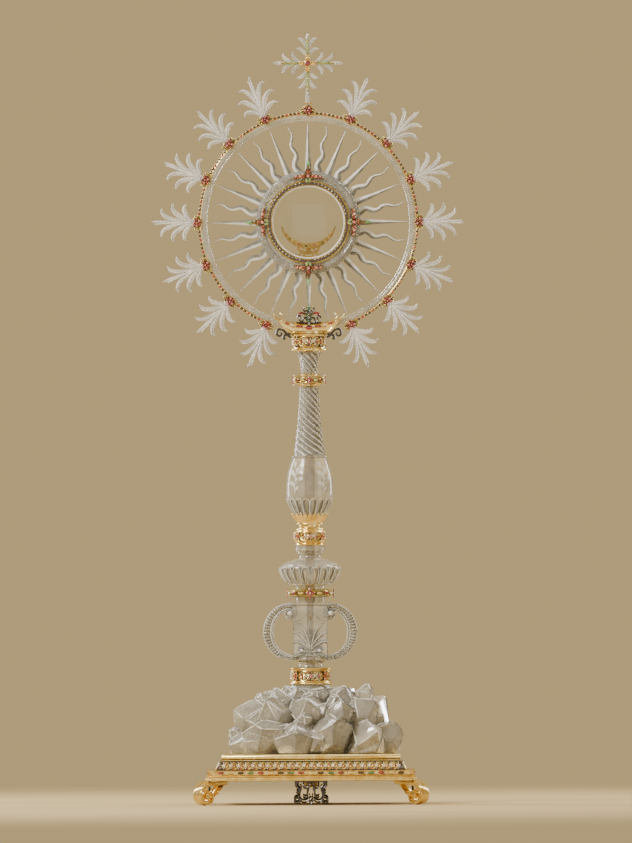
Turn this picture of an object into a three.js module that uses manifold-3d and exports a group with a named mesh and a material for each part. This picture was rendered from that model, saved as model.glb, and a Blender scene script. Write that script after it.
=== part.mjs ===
// A standing monstrance: a rayed glory with a glazed host case, on a turned and carved crystal stem,
// over a crystal rockwork mound and a square gilt plinth on four scroll feet.
// Millimetres, +Z up, front towards -Y. The origin is on the floor, on the stem's axis.

import * as THREE from "three";
import { mergeVertices } from "three/addons/utils/BufferGeometryUtils.js";
import Module from "manifold-3d";

const wasm = await Module();
wasm.setup();

// ---- Driving dimensions ----

const GAP = 0.3; // left between any two pieces that touch
const STEM_SIDES = 24;
const RING_SIDES = 40;
const GLORY_SIDES = 56;

// The glory, centred on the ring's axis, which runs along Y.
const GLORY_HEIGHT = 698;
const RING_INNER = 121.2;
const RING_OUTER = 128.4;
const RING_HALF_DEPTH = 4;
const ROSETTE_CIRCLE = 134;
const ROSETTE_RADIUS = 7.2;
const ROSETTE_STEP = 22.5; // degrees between rosettes
const SPRAYS_A_SIDE = 7;
const SPRAY_TIP = 190; // from the ring's axis
const SPRAY_PLANE = -5.4; // back face of the leaves
const LEAF_THICKNESS = 2.8;
const RAY_COUNT = 16; // of each kind
const RAY_THICKNESS = 2;
const RAY_TIP = RING_INNER - GAP;

// The host case.
const CASE_INNER = 44.5;
const CASE_OUTER = 50.1;
const CASE_FRONT = -14.6;
const CASE_BACK = 16;
const GLASS_THICKNESS = 2;
const WINDOW_RADIUS = 43.8;
const BEZEL_OUTER = 49.8;
const MOULDING_OUTER = 62.4;
const FLANGE_FRONT = 2.4;
const FLANGE_BACK = 4.9;

// The rear door, its hinge and its turn button.
const DOOR_OUTER = 51.5;
const DOOR_FRONT = 16.4;
const DOOR_BACK = 20;
const HINGE_X = -56;
const HINGE_Y = 18.2;
const KNUCKLE_RADIUS = 3;
const HINGE_BORE = 1.6;
const HINGE_PIN = 1.25;
const KNUCKLE_ENDS = [-11, -4, 4, 11]; // lower case knuckle, door knuckle, upper case knuckle
const LATCH_X = 56;

// The lunula: two crescents that grip the host, on a runner in a track.
const CRESCENT_INNER = 34;
const CRESCENT_OUTER = 31.7;
const CRESCENT_HALF_CHORD = 31.2;
const HORN_HEIGHT = -4.4; // of the horns' tips, from the ring's axis
const LUNULA_LEG_X = 10.4;
const RUNNER_HALF_WIDTH = 14;
const RUNNER_TOP = -39.8;
const RUNNER_BOTTOM = -41.7;
const CLIP_HINGE_HEIGHT = -34.6;
const CLIP_HINGE_Y = -0.9;

// The stem.
const ROD_RADIUS = 4;
const BORE = 4.4;
const SOCKET = 8; // radius of the cradle's tenon, which takes the head of the rod

// The mound and the plinth.
const MOUND_BASE = 61;
const MOUND_TOP = 143;
const MOUND_HALF = 90;
const PLINTH_BOTTOM = 29;
const PLINTH_HALF = 126.4;
const FOOT_THICKNESS = 14;

// ---- Finishes ----

const finish = (color, roughness, metalness) =>
  new THREE.MeshStandardMaterial({ color, roughness, metalness });
const gilt = finish("#d9ab45", 0.28, 1);
const jewelledGilt = finish("#c2923c", 0.35, 1);
const blackEnamel = finish("#1d1714", 0.25, 0.1);
const crystal = finish("#dcdcd6", 0.12, 0);
const paneGlass = finish("#eef2f0", 0.03, 0);
const brass = finish("#b08d4a", 0.35, 1);

// ---- Making and placing solids ----

const monstrance = new THREE.Group();
const glory = new THREE.Group();
glory.position.z = GLORY_HEIGHT;
monstrance.add(glory);

function place(parent, name, geometry, material) {
  const mesh = new THREE.Mesh(geometry, material);
  mesh.name = name;
  parent.add(mesh);
  return mesh;
}

const radians = THREE.MathUtils.degToRad;
const vectors = (pairs) => pairs.map(([a, b]) => new THREE.Vector2(a, b));

// A closed profile of [radius, height] pairs, counter-clockwise, turned about +Z.
function turned(profile, sides = STEM_SIDES) {
  return new THREE.LatheGeometry(vectors([...profile, profile[0]]), sides).rotateX(Math.PI / 2);
}

// The same about the ring's axis, with [radius, y] pairs.
function ringed(profile, sides = RING_SIDES) {
  return new THREE.LatheGeometry(vectors([...profile, profile[0]]), sides);
}

// A square-plan moulding: [half width, height] pairs mitred at four corners.
function mitred(profile) {
  const pairs = profile.map(([half, z]) => [half * Math.SQRT2, z]);
  return turned(pairs, 4).rotateZ(Math.PI / 4);
}

// A flat plate whose outline is drawn in X and Z, from y = front to y = front + thickness.
function plate(outline, front, thickness, curveSegments = 8) {
  const settings = { depth: thickness, bevelEnabled: false, curveSegments };
  const made = new THREE.ExtrudeGeometry(outline, settings);
  return made.rotateX(Math.PI / 2).translate(0, front + thickness, 0);
}

function block(x, y, z) {
  const made = new THREE.BoxGeometry(x[1] - x[0], y[1] - y[0], z[1] - z[0]);
  return made.translate((x[0] + x[1]) / 2, (y[0] + y[1]) / 2, (z[0] + z[1]) / 2);
}

function solidOf(geometry) {
  const bare = geometry.clone();
  bare.deleteAttribute("normal");
  bare.deleteAttribute("uv");
  const merged = mergeVertices(bare, 1e-3);
  return new wasm.Manifold(
    new wasm.Mesh({
      numProp: 3,
      vertProperties: merged.attributes.position.array,
      triVerts: new Uint32Array(merged.index.array),
    }),
  );
}

function geometryOf(solid) {
  const mesh = solid.getMesh();
  return new THREE.BufferGeometry()
    .setAttribute("position", new THREE.BufferAttribute(mesh.vertProperties, 3))
    .setIndex(new THREE.BufferAttribute(mesh.triVerts, 1));
}

const join = (...pieces) => geometryOf(pieces.map(solidOf).reduce((a, b) => a.add(b)));
const cut = (piece, ...tools) =>
  geometryOf(tools.map(solidOf).reduce((a, b) => a.subtract(b), solidOf(piece)));

// ---- Plinth and feet ----

function plinth() {
  place(monstrance, "plinth_base_plate", mitred([
    [BORE, 29.1], [111.7, 29.1], [111.7, 32.1], [BORE, 32.1],
  ]), brass);
  place(monstrance, "plinth_lower_moulding", mitred([
    [106, 32.4], [112, 32.4], [112, PLINTH_BOTTOM], [125.4, PLINTH_BOTTOM],
    [PLINTH_HALF, 30.5], [PLINTH_HALF, 33], [124.6, 35.4], [106, 35.4],
  ]), gilt);
  place(monstrance, "plinth_jewel_band", mitred([
    [106, 35.7], [124, 35.7], [124.6, 37], [124.6, 40.4], [124, 41.5], [106, 41.5],
  ]), jewelledGilt);
  place(monstrance, "plinth_foliate_band", mitred([
    [101, 41.8], [113.5, 41.8], [110.4, 45], [108.6, 49], [108.2, 52.5], [101, 52.5],
  ]), jewelledGilt);
  place(monstrance, "plinth_upper_moulding", mitred([
    [BORE, 57.7], [98, 57.7], [98, 52.8], [105.4, 52.8], [107, 54.6], [107, 58.6],
    [105.4, 60.7], [BORE, 60.7],
  ]), gilt);
}

// A scroll foot, drawn along the plinth's diagonal: out from under the corner, down, and curled in.
function foot() {
  const outline = new THREE.Shape();
  outline.moveTo(146, PLINTH_BOTTOM - GAP);
  outline.lineTo(146, 24.5);
  outline.quadraticCurveTo(160, 22, 165, 14);
  outline.quadraticCurveTo(168.5, 4, 177, 0);
  outline.lineTo(185, 0);
  outline.quadraticCurveTo(193.5, 3.5, 193.3, 12);
  outline.quadraticCurveTo(192.5, 22, 178, PLINTH_BOTTOM - GAP);
  return plate(outline, -FOOT_THICKNESS / 2, FOOT_THICKNESS, 5);
}

// A pierced scrollwork pendant that hangs under the middle of each side.
function pendant() {
  const top = PLINTH_BOTTOM - GAP;
  const outline = new THREE.Shape();
  outline.moveTo(-20, top);
  outline.quadraticCurveTo(-23.5, 22, -16, 19);
  outline.quadraticCurveTo(-24.5, 16, -17, 12.5);
  outline.quadraticCurveTo(-26, 8, -19, 1.8);
  outline.quadraticCurveTo(-13.5, 5.6, -5.5, 4.4);
  outline.lineTo(0, 1);
  outline.lineTo(5.5, 4.4);
  outline.quadraticCurveTo(13.5, 5.6, 19, 1.8);
  outline.quadraticCurveTo(26, 8, 17, 12.5);
  outline.quadraticCurveTo(24.5, 16, 16, 19);
  outline.quadraticCurveTo(23.5, 22, 20, top);
  for (const [x, z, wide, high] of [[-8.4, 16, 3.6, 4.8], [0, 15, 3, 5.4], [8.4, 16, 3.6, 4.8]]) {
    outline.holes.push(new THREE.Path().absellipse(x, z, wide, high, 0, 2 * Math.PI, true));
  }
  return plate(outline, -123.5, 3, 4);
}

function feetAndPendants() {
  const corners = ["rear_right", "rear_left", "front_left", "front_right"];
  corners.forEach((corner, k) => {
    place(monstrance, `foot_${corner}`, foot(), gilt).rotation.z = radians(45 + 90 * k);
  });
  const sides = ["front", "right", "rear", "left"];
  sides.forEach((side, k) => {
    place(monstrance, `pendant_${side}`, pendant(), blackEnamel).rotation.z = radians(90 * k);
  });
}

// ---- The crystal mound ----

// One blunt quartz crystal of the cluster, leaning out from its foot.
function bluntCrystal([x, y, z, bearing, lean, radius, length]) {
  const sides = radius > 20 ? 6 : 5;
  const made = turned([
    [0, 0], [radius, 0], [radius * 1.05, length * 0.6], [radius * 0.76, length * 0.9],
    [radius * 0.34, length], [0, length],
  ], sides);
  return made
    .rotateZ(radius)
    .rotateY(radians(lean))
    .rotateZ(radians(bearing))
    .translate(x, y, z);
}

// The cluster's crystals: foot's x, y and z, bearing from +X and lean from upright in degrees,
// radius and length.
const CLUSTER = [
  // the lowest tier, from the front left round to the left
  [-48, -46, 66, -112, 62, 26, 50], [-12, -50, 64, -100, 66, 24, 48], [22, -46, 66, -84, 56, 28, 52],
  [62, -46, 62, -70, 62, 25, 48], [76, -22, 60, -20, 38, 20, 44], [66, 24, 62, 15, 60, 25, 44],
  [44, 50, 64, 62, 60, 26, 48], [2, 50, 64, 95, 64, 26, 48], [-44, 48, 64, 118, 60, 27, 48],
  [-62, 22, 62, 168, 64, 25, 42], [-64, -20, 60, -168, 70, 24, 38],
  // the middle tier
  [-40, -20, 88, -172, 68, 21, 54], [-30, -34, 86, -120, 52, 20, 46], [-4, -32, 92, -95, 50, 24, 42],
  [26, -34, 84, -75, 50, 20, 46], [46, -26, 84, -42, 48, 19, 50], [48, 4, 84, 2, 48, 22, 50],
  [34, 34, 86, 50, 50, 22, 46], [-6, 34, 88, 98, 50, 22, 44], [-38, 28, 86, 142, 52, 22, 48],
  // the highest tier
  [-18, -14, 102, -140, 36, 17, 44], [4, -16, 104, -80, 34, 17, 42], [20, -12, 102, -35, 40, 16, 46],
  [50, 8, 96, 10, 22, 14, 48], [16, 16, 102, 55, 36, 17, 42], [-16, 16, 102, 130, 36, 17, 42],
  [-36, 4, 104, 178, 32, 12, 36],
  // the corners
  [62, -62, 58, -45, 54, 23, 34], [62, 62, 58, 45, 54, 23, 34], [-62, 62, 58, 135, 54, 23, 34],
  [-62, -62, 58, -135, 54, 23, 34],
];

function mound() {
  const top = MOUND_TOP - 0.2;
  const core = mitred([
    [0, MOUND_BASE], [MOUND_HALF, MOUND_BASE], [84, 76], [62, 96], [34, 128], [24, top], [0, top],
  ]);
  const spare = 160;
  const above = block([-spare, spare], [-spare, spare], [top, spare * 2]);
  const below = block([-spare, spare], [-spare, spare], [0, MOUND_BASE]);
  const bore = turned([[0, 0], [BORE, 0], [BORE, spare], [0, spare]], 16);
  const cluster = join(core, ...CLUSTER.map(bluntCrystal));
  place(monstrance, "crystal_mound", cut(cluster, above, below, bore), crystal);
}

// ---- The stem, from the mound up ----

// Four round bosses that stand out from a drum, at the front, the sides and the back.
function studs(reach, height, radius) {
  return [0, 90, 180, 270].map((turn) =>
    turned([[0, 12], [radius, 12], [radius, reach - 1], [radius * 0.6, reach], [0, reach]], 10)
      .rotateY(Math.PI / 2)
      .rotateZ(radians(turn))
      .translate(0, 0, height));
}

function stem() {
  place(monstrance, "mound_collar", join(turned([
    [BORE, 143.2], [23.4, 143.2], [23.8, 145.6], [22, 148], [22.4, 159], [23.8, 161.4],
    [23.4, 163.6], [BORE, 163.6],
  ]), ...studs(28.2, 153.6, 5.6)), jewelledGilt);

  place(monstrance, "scroll_knop_block", cut(
    join(
      block([-21.4, 21.4], [-18, 18], [176, 238]),
      turned([[0, 163.9], [16, 163.9], [15, 168], [19, 171.5], [20, 177], [0, 177]]),
      block([-26.5, 26.5], [-19.5, 19.5], [237, 242]),
    ),
    turned([[0, 150], [BORE, 150], [BORE, 260], [0, 260]], 16),
  ), crystal);
  for (const [side, sign] of [["left", -1], ["right", 1]]) {
    place(monstrance, `scroll_${side}`, scrollHandle(sign), crystal);
  }

  place(monstrance, "jewelled_ring", turned([
    [18.1, 248.4], [26.4, 248.4], [28.3, 250.8], [28.3, 255.4], [26.4, 257.8], [18.1, 257.8],
  ]), jewelledGilt);
  place(monstrance, "gadrooned_knop", turned([
    [BORE, 242.4], [17.7, 242.4], [17.7, 261], [26, 262], [31, 269], [36.4, 277], [37, 282.5],
    [33, 288], [19, 294], [13, 295], [13, 299.4], [15.4, 300.4], [15.6, 302.6], [18.3, 303.6],
    [18.3, 309.8], [BORE, 309.8],
  ]), crystal);
  place(monstrance, "jewelled_knop", join(turned([
    [BORE, 310.2], [18, 310.2], [16.8, 313], [19.2, 316], [19.2, 326.4], [16.8, 329.2],
    [16, 331], [BORE, 331],
  ]), ...studs(23.6, 321.2, 4.6)), jewelledGilt);
  place(monstrance, "calyx_cup", turned([
    [BORE, 331.3], [13.4, 331.3], [13.2, 335], [16.4, 336.2], [17, 339], [21.8, 346.4],
    [22.4, 350], [21, 350], [16.2, 340.6], [BORE, 340.6],
  ]), gilt);
  place(monstrance, "crystal_vase", turned([
    [BORE, 341], [15.6, 341], [20.6, 350.3], [25.8, 360], [28.7, 374], [28.6, 382],
    [26.4, 398], [21.4, 414.5], [20.4, 417.6], [BORE, 417.6], [BORE, 413], [18, 412.5],
    [23.4, 396], [25.6, 380], [25, 367], [19.5, 354], [13.5, 347], [BORE, 346],
  ]), crystal);
  place(monstrance, "twisted_column", turned([
    [BORE, 418], [19.4, 418], [16.6, 436], [13.4, 466], [11.4, 500.5], [BORE, 500.5],
  ]), crystal);
  place(monstrance, "stem_bracelet", turned([
    [BORE, 500.8], [12, 500.8], [16, 504.4], [19.4, 506.4], [19.4, 511], [16, 513],
    [11, 516.2], [BORE, 516.2],
  ]), jewelledGilt);
  place(monstrance, "column_neck", turned([
    [BORE, 516.5], [9.2, 516.5], [10.2, 526], [14.4, 541.6], [14.4, 543], [BORE, 543],
  ]), crystal);
  place(monstrance, "capital", turned([
    [BORE, 543.3], [20.6, 543.3], [21.8, 545.4], [20.4, 548.6], [20.8, 561], [21.6, 564.4],
    [SOCKET + GAP, 564.4], [SOCKET + GAP, 551.7], [BORE, 551.7],
  ]), jewelledGilt);

  place(monstrance, "tie_rod", turned([
    [0, 20], [ROD_RADIUS, 20], [ROD_RADIUS, 561], [0, 561],
  ], 12), brass);
}

// A C scroll: a band round an ellipse, open towards the block, ending in a volute above and below.
function scrollHandle(sign) {
  const [x, z, wide, high, band] = [24, 206.4, 33, 34.8, 13];
  const [from, to] = [radians(103), radians(-103)];
  const outline = new THREE.Shape();
  outline.absellipse(x, z, wide, high, from, to, true);
  outline.absellipse(x, z, wide - band, high - band + 4, to, from, false);
  const middle = plate(outline, -9, 18, 20);
  const volute = (atX, atZ, radius, deep) =>
    turned([[0, -deep], [radius, -deep], [radius, deep], [0, deep]], 16)
      .rotateX(Math.PI / 2)
      .translate(atX, 0, atZ);
  const whole = join(middle, volute(25, 228.4, 8.4, 19), volute(21, 184.6, 7.6, 9.5));
  const room = GAP;
  const clear = cut(
    whole,
    block([-40, 21.4 + room], [-30, 30], [150, 260]),
    block([-40, 26.5 + room], [-30, 30], [237 - room, 260]),
  );
  return sign > 0 ? clear : clear.rotateZ(Math.PI);
}

// The nut that draws the stem down on its rod, under the base plate.
function rodNut() {
  place(monstrance, "rod_nut", turned([
    [ROD_RADIUS + GAP, 22], [8, 22], [8, 27], [12, 27], [12, 28.8], [ROD_RADIUS + GAP, 28.8],
  ], 12), brass);
}

// ---- The cradle under the glory ----

function cradle() {
  const boat = new THREE.Shape();
  const rise = Math.asin(38 / RING_INNER);
  const middle = -Math.PI / 2;
  boat.moveTo(-21.5, -133.2);
  boat.lineTo(21.5, -133.2);
  boat.quadraticCurveTo(27, -126, 38, -RING_INNER * Math.cos(rise));
  boat.absarc(0, 0, RING_INNER, middle + rise, middle - rise, true);
  boat.quadraticCurveTo(-27, -126, -21.5, -133.2);
  const body = plate(boat, -8, 16, 10);
  const arm = (sign) => {
    const bar = new THREE.Shape();
    bar.moveTo(sign * 18, -133.2);
    bar.lineTo(sign * 43, -126.2);
    bar.lineTo(sign * 43, -122.7);
    bar.lineTo(sign * 18, -127.5);
    return plate(bar, -7.5, 3.1);
  };
  const channel = ringed([
    [RING_INNER - GAP, -RING_HALF_DEPTH - GAP], [RING_OUTER + GAP, -RING_HALF_DEPTH - GAP],
    [RING_OUTER + GAP, RING_HALF_DEPTH + GAP], [RING_INNER - GAP, RING_HALF_DEPTH + GAP],
  ], GLORY_SIDES);
  const tenon = turned([[0, -146], [SOCKET, -146], [SOCKET, -133], [0, -133]], 16);
  const socket = turned([[0, -150], [BORE, -150], [BORE, -136], [0, -136]], 12);
  place(glory, "cradle", cut(join(body, arm(-1), arm(1), tenon), channel, socket), gilt);

  const crest = new THREE.Shape();
  crest.moveTo(-15, -119.4);
  crest.quadraticCurveTo(-17, -112, -8, -112);
  crest.quadraticCurveTo(-8, -106, -3.4, -105);
  crest.lineTo(0, -98);
  crest.lineTo(3.4, -105);
  crest.quadraticCurveTo(8, -106, 8, -112);
  crest.quadraticCurveTo(17, -112, 15, -119.4);
  place(glory, "cradle_crest", join(
    plate(crest, -11.6, 3),
    plate(new THREE.Shape(vectors([[-9, -126], [9, -126], [9, -118], [-9, -118]])), -11.6, 3.3),
  ), jewelledGilt);
}

// ---- Ring, rim, rays and sprays ----

function ringAndRim() {
  const d = RING_HALF_DEPTH;
  place(glory, "glory_ring", ringed([
    [RING_INNER, -d + 1.5], [RING_INNER + 2, -d], [RING_OUTER - 1.5, -d], [RING_OUTER, -d + 1],
    [RING_OUTER, d - 1], [RING_OUTER - 1.5, d], [RING_INNER + 2, d], [RING_INNER, d - 1.5],
  ], GLORY_SIDES), crystal);

  const rim = new THREE.Shape();
  const [low, high] = [radians(-90 + ROSETTE_STEP), radians(270 - ROSETTE_STEP)];
  rim.absarc(0, 0, 133.2, low, high, false);
  rim.absarc(0, 0, RING_OUTER + GAP, high, low, true);
  place(glory, "jewelled_rim", plate(rim, -3, 6, 48), jewelledGilt);
}

// A star of rays cut from one sheet: each ray's flanks come from half width and sway along it.
function rayStar(turn, steps, halfWidth, sway) {
  const root = 60;
  const star = new THREE.Shape();
  for (let k = 0; k < RAY_COUNT; k += 1) {
    const angle = radians(turn + (k * 360) / RAY_COUNT);
    const [along, across] = [
      new THREE.Vector2(Math.cos(angle), Math.sin(angle)),
      new THREE.Vector2(-Math.sin(angle), Math.cos(angle)),
    ];
    for (let i = -steps; i <= steps; i += 1) {
      if (i === 0 && halfWidth(1) > 0.5) continue;
      const t = 1 - Math.abs(i) / steps;
      const offset = sway(t) + Math.sign(i) * halfWidth(t);
      const point = along
        .clone()
        .multiplyScalar(root + (RAY_TIP - root) * t)
        .addScaledVector(across, offset);
      if (k === 0 && i === -steps) star.moveTo(point.x, point.y);
      else star.lineTo(point.x, point.y);
    }
  }
  const hole = new THREE.Path().absarc(0, 0, CASE_OUTER + GAP, 0, 2 * Math.PI, true);
  star.holes.push(hole);
  return star;
}

function rays() {
  const straight = rayStar(0, 1, (t) => 3.6 - 3.1 * t, () => 0);
  place(glory, "straight_rays", plate(straight, -2.2, RAY_THICKNESS, 16), crystal);
  const sway = (t) => 2.6 * Math.sin(2 * Math.PI * 2.6 * t) * (1 - 0.6 * t);
  const wavy = rayStar(11.25, 8, (t) => 3.2 - 2.9 * t, sway);
  place(glory, "wavy_rays", plate(wavy, 0.1, RAY_THICKNESS, 16), crystal);
}

// Leaflets of a spray: distance of the root from the rosette's centre, and the tip's place.
const LEAFLETS = [
  [8, 15, 17], [17, 26, 17], [26, 35.5, 13.5], [35, 44.5, 10], [44, 50, 5.5],
];

// A leaf spray drawn upright along +Z from its rosette, at the ring's top.
function spray() {
  const leaf = new THREE.Shape();
  const reach = SPRAY_TIP - ROSETTE_CIRCLE;
  const stalk = 2.2;
  leaf.moveTo(stalk, 4);
  for (const [root, tip, out] of LEAFLETS) {
    leaf.quadraticCurveTo(out * 0.7, root + 1, out, tip - 4);
    leaf.quadraticCurveTo(out * 0.55, tip + 1, stalk, root + 7);
  }
  leaf.lineTo(0, reach);
  for (const [root, tip, out] of [...LEAFLETS].reverse()) {
    leaf.lineTo(-stalk, root + 7);
    leaf.quadraticCurveTo(-out * 0.55, tip + 1, -out, tip - 4);
    leaf.quadraticCurveTo(-out * 0.7, root + 1, -stalk, root);
  }
  leaf.lineTo(-stalk, 4);
  const disc = new THREE.Shape().absarc(0, 0, ROSETTE_RADIUS, 0, 2 * Math.PI, false);
  const front = SPRAY_PLANE - LEAF_THICKNESS;
  return join(plate(leaf, front, LEAF_THICKNESS, 2), plate(disc, -9.5, 5.1, 6));
}

function sprays() {
  for (const [side, sign] of [["left", -1], ["right", 1]]) {
    for (let k = 1; k <= SPRAYS_A_SIDE; k += 1) {
      const made = spray().translate(0, 0, ROSETTE_CIRCLE);
      place(glory, `leaf_spray_${side}_${k}`, made, crystal).rotation.y =
        sign * radians(k * ROSETTE_STEP);
    }
  }
}

// The cross that stands on the topmost rosette.
function topCross() {
  const centre = 190.7;
  const tip = 227;
  const arms = new THREE.Shape(vectors([
    [-2.6, 141], [2.6, 141], [2.6, centre - 2.6], [40, centre - 2], [42.5, centre],
    [40, centre + 2], [2.6, centre + 2.6], [1.6, tip - 1], [0, tip], [-1.6, tip - 1],
    [-2.6, centre + 2.6], [-40, centre + 2], [-42.5, centre], [-40, centre - 2],
    [-2.6, centre - 2.6],
  ]));
  const disc = (z, radius) => {
    const round = new THREE.Shape().absarc(0, z, radius, 0, 2 * Math.PI, false);
    return plate(round, -9.5, 5.1, 6);
  };
  // Curled leaves that spring from each arm, as pairs of thin lozenges.
  const curls = [0, 90, 180, 270].flatMap((turn) =>
    [16, 27].flatMap((at) =>
      [-1, 1].map((sign) => {
        const curl = new THREE.Shape(vectors([
          [0, at - 3], [sign * 7, at - 1], [sign * 10.5, at + 5], [sign * 5, at + 3], [0, at + 2],
        ]));
        return plate(curl, -8.2, 2.8).rotateY(radians(turn)).translate(0, 0, centre);
      }),
    ),
  );
  place(glory, "top_cross", join(
    plate(arms, -8.8, 3.6),
    disc(ROSETTE_CIRCLE, 8),
    disc(centre, 9.5),
    ...curls,
  ), jewelledGilt);
}

// ---- The host case ----

function hostCase() {
  const glassBack = CASE_FRONT + GLASS_THICKNESS;
  const shell = ringed([
    [CASE_INNER, glassBack + GAP], [46.3, glassBack + GAP], [46.3, CASE_FRONT],
    [CASE_OUTER, CASE_FRONT], [CASE_OUTER, FLANGE_FRONT], [60, FLANGE_FRONT],
    [60, FLANGE_BACK], [CASE_OUTER, FLANGE_BACK], [CASE_OUTER, CASE_BACK],
    [CASE_INNER, CASE_BACK],
  ]);
  const wallY = [11, CASE_BACK];
  const upright = (radius, low, high, sides) =>
    turned([[0, low], [radius, low], [radius, high], [0, high]], sides);
  const knuckle = (low, high) =>
    upright(KNUCKLE_RADIUS, low, high, 16).translate(HINGE_X, HINGE_Y, 0);
  const hinge = [[KNUCKLE_ENDS[0], KNUCKLE_ENDS[1]], [KNUCKLE_ENDS[2], KNUCKLE_ENDS[3]]].flatMap(
    ([low, high]) => [
      knuckle(low, high),
      block([HINGE_X - KNUCKLE_RADIUS, -48.4], wallY, [low, high]),
    ],
  );
  const pinBore = upright(HINGE_BORE, -20, 20, 12).translate(HINGE_X, HINGE_Y, 0);
  const latchBoss = block([48.4, LATCH_X + 3.4], wallY, [-3.4, 3.4]);
  const latchBore = upright(1.6, -40, 40, 12).rotateX(Math.PI / 2).translate(LATCH_X, 0, 0);
  const rails = [-1, 1].flatMap((sign) => {
    const span = (a, b) => [Math.min(sign * a, sign * b), Math.max(sign * a, sign * b)];
    return [
      block(span(RUNNER_HALF_WIDTH + GAP, 16.6), [-11.5, 15], [-46, -37.7]),
      block(span(12.5, 16.6), [-11.5, 15], [RUNNER_TOP + GAP, -37.7]),
    ];
  });
  place(glory, "case_shell", cut(
    join(shell, ...hinge, latchBoss, ...rails),
    pinBore,
    latchBore,
  ), gilt);

  place(glory, "front_glass", ringed([
    [0, CASE_FRONT], [46, CASE_FRONT], [46, glassBack], [0, glassBack],
  ]), paneGlass);
  place(glory, "window_moulding", ringed([
    [CASE_OUTER + GAP, -3], [CASE_OUTER + GAP, -12], [53, -15.4], [57, -15], [61, -12.5],
    [MOULDING_OUTER, -8.6], [MOULDING_OUTER, -4.4], [60.6, -2.6],
  ]), crystal);
  jewelledBezel();
}

// The jewelled bezel that holds the front glass, with a trefoil cluster at each quarter.
function jewelledBezel() {
  const face = CASE_FRONT - GAP;
  const band = ringed([
    [WINDOW_RADIUS, face], [WINDOW_RADIUS, face - 1.6], [46.2, face - 3],
    [BEZEL_OUTER, face - 2.2], [BEZEL_OUTER, face],
  ]);
  const cluster = (turn) => {
    const outline = new THREE.Shape();
    outline.moveTo(-5, 46.6);
    outline.lineTo(5, 46.6);
    outline.quadraticCurveTo(9, 50, 17, 52);
    outline.quadraticCurveTo(13, 58, 7, 57.4);
    outline.lineTo(0, 69);
    outline.lineTo(-7, 57.4);
    outline.quadraticCurveTo(-13, 58, -17, 52);
    outline.quadraticCurveTo(-9, 50, -5, 46.6);
    return plate(outline, face - 4.6, 3.6, 3).rotateY(radians(turn));
  };
  place(glory, "jewelled_bezel", join(band, ...[0, 90, 180, 270].map(cluster)), jewelledGilt);
}

function rearDoor() {
  const frame = ringed([
    [41, DOOR_BACK], [41, 18.3], [44, 18.3], [44, DOOR_FRONT], [DOOR_OUTER, DOOR_FRONT],
    [DOOR_OUTER, DOOR_BACK],
  ]);
  const height = KNUCKLE_ENDS[2] - GAP;
  const knuckle = turned([
    [0, -height], [KNUCKLE_RADIUS, -height], [KNUCKLE_RADIUS, height], [0, height],
  ], 16).translate(HINGE_X, HINGE_Y, 0);
  const leaf = block([HINGE_X, -49], [DOOR_FRONT, DOOR_BACK], [-height, height]);
  const pinBore = turned([
    [0, -20], [HINGE_BORE, -20], [HINGE_BORE, 20], [0, 20],
  ], 12).translate(HINGE_X, HINGE_Y, 0);
  const knob = turned([
    [0, 0], [1.6, 0], [1.4, 2.4], [3, 4], [3, 5.6], [1.6, 7], [0, 7],
  ].map(([r, h]) => [r, h - 0.5]), 12)
    .rotateX(-Math.PI / 2)
    .translate(42, DOOR_BACK, -20);
  place(glory, "rear_door_frame", join(cut(join(frame, knuckle, leaf), pinBore), knob), gilt);
  place(glory, "rear_glass", ringed([
    [0, 16.8], [43.6, 16.8], [43.6, 18], [0, 18],
  ]), paneGlass);
  place(glory, "hinge_pin", turned([
    [0, -12.6], [2.4, -12.6], [2.4, -11.3], [HINGE_PIN, -11.3], [HINGE_PIN, 11.3], [2.4, 11.3],
    [2.4, 12.6], [0, 12.6],
  ], 12).translate(HINGE_X, HINGE_Y, 0), brass);
}

// The turn button: its tongue hangs clear of the door, and turns a quarter to lie over its rim.
function turnButton() {
  const shaft = turned([
    [0, 0], [2.6, 0], [2.6, 1.2], [1.25, 1.2], [1.25, 12], [0, 12],
  ].map(([r, h]) => [r, h + 9.5]), 12).rotateX(-Math.PI / 2);
  const tongue = new THREE.Shape();
  tongue.moveTo(-2.6, 0);
  tongue.lineTo(-1.6, -9.5);
  tongue.quadraticCurveTo(0, -11.5, 1.6, -9.5);
  tongue.lineTo(2.6, 0);
  tongue.quadraticCurveTo(0, 4.4, -2.6, 0);
  const made = join(shaft, plate(tongue, DOOR_BACK + GAP, 1.8, 4)).translate(LATCH_X, 0, 0);
  place(glory, "turn_button", made, gilt);
}

// ---- The lunula ----

// A crescent between two arcs that share the horns' tips.
function crescent() {
  const drop = (radius) => Math.sqrt(radius ** 2 - CRESCENT_HALF_CHORD ** 2);
  const arc = (shape, radius, reverse) => {
    const centre = HORN_HEIGHT + drop(radius);
    const half = Math.asin(CRESCENT_HALF_CHORD / radius);
    const ends = [-Math.PI / 2 - half, -Math.PI / 2 + half];
    if (reverse) ends.reverse();
    shape.absarc(0, centre, radius, ends[0], ends[1], reverse);
  };
  const outline = new THREE.Shape();
  arc(outline, CRESCENT_OUTER, false);
  arc(outline, CRESCENT_INNER, true);
  return outline;
}

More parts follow.
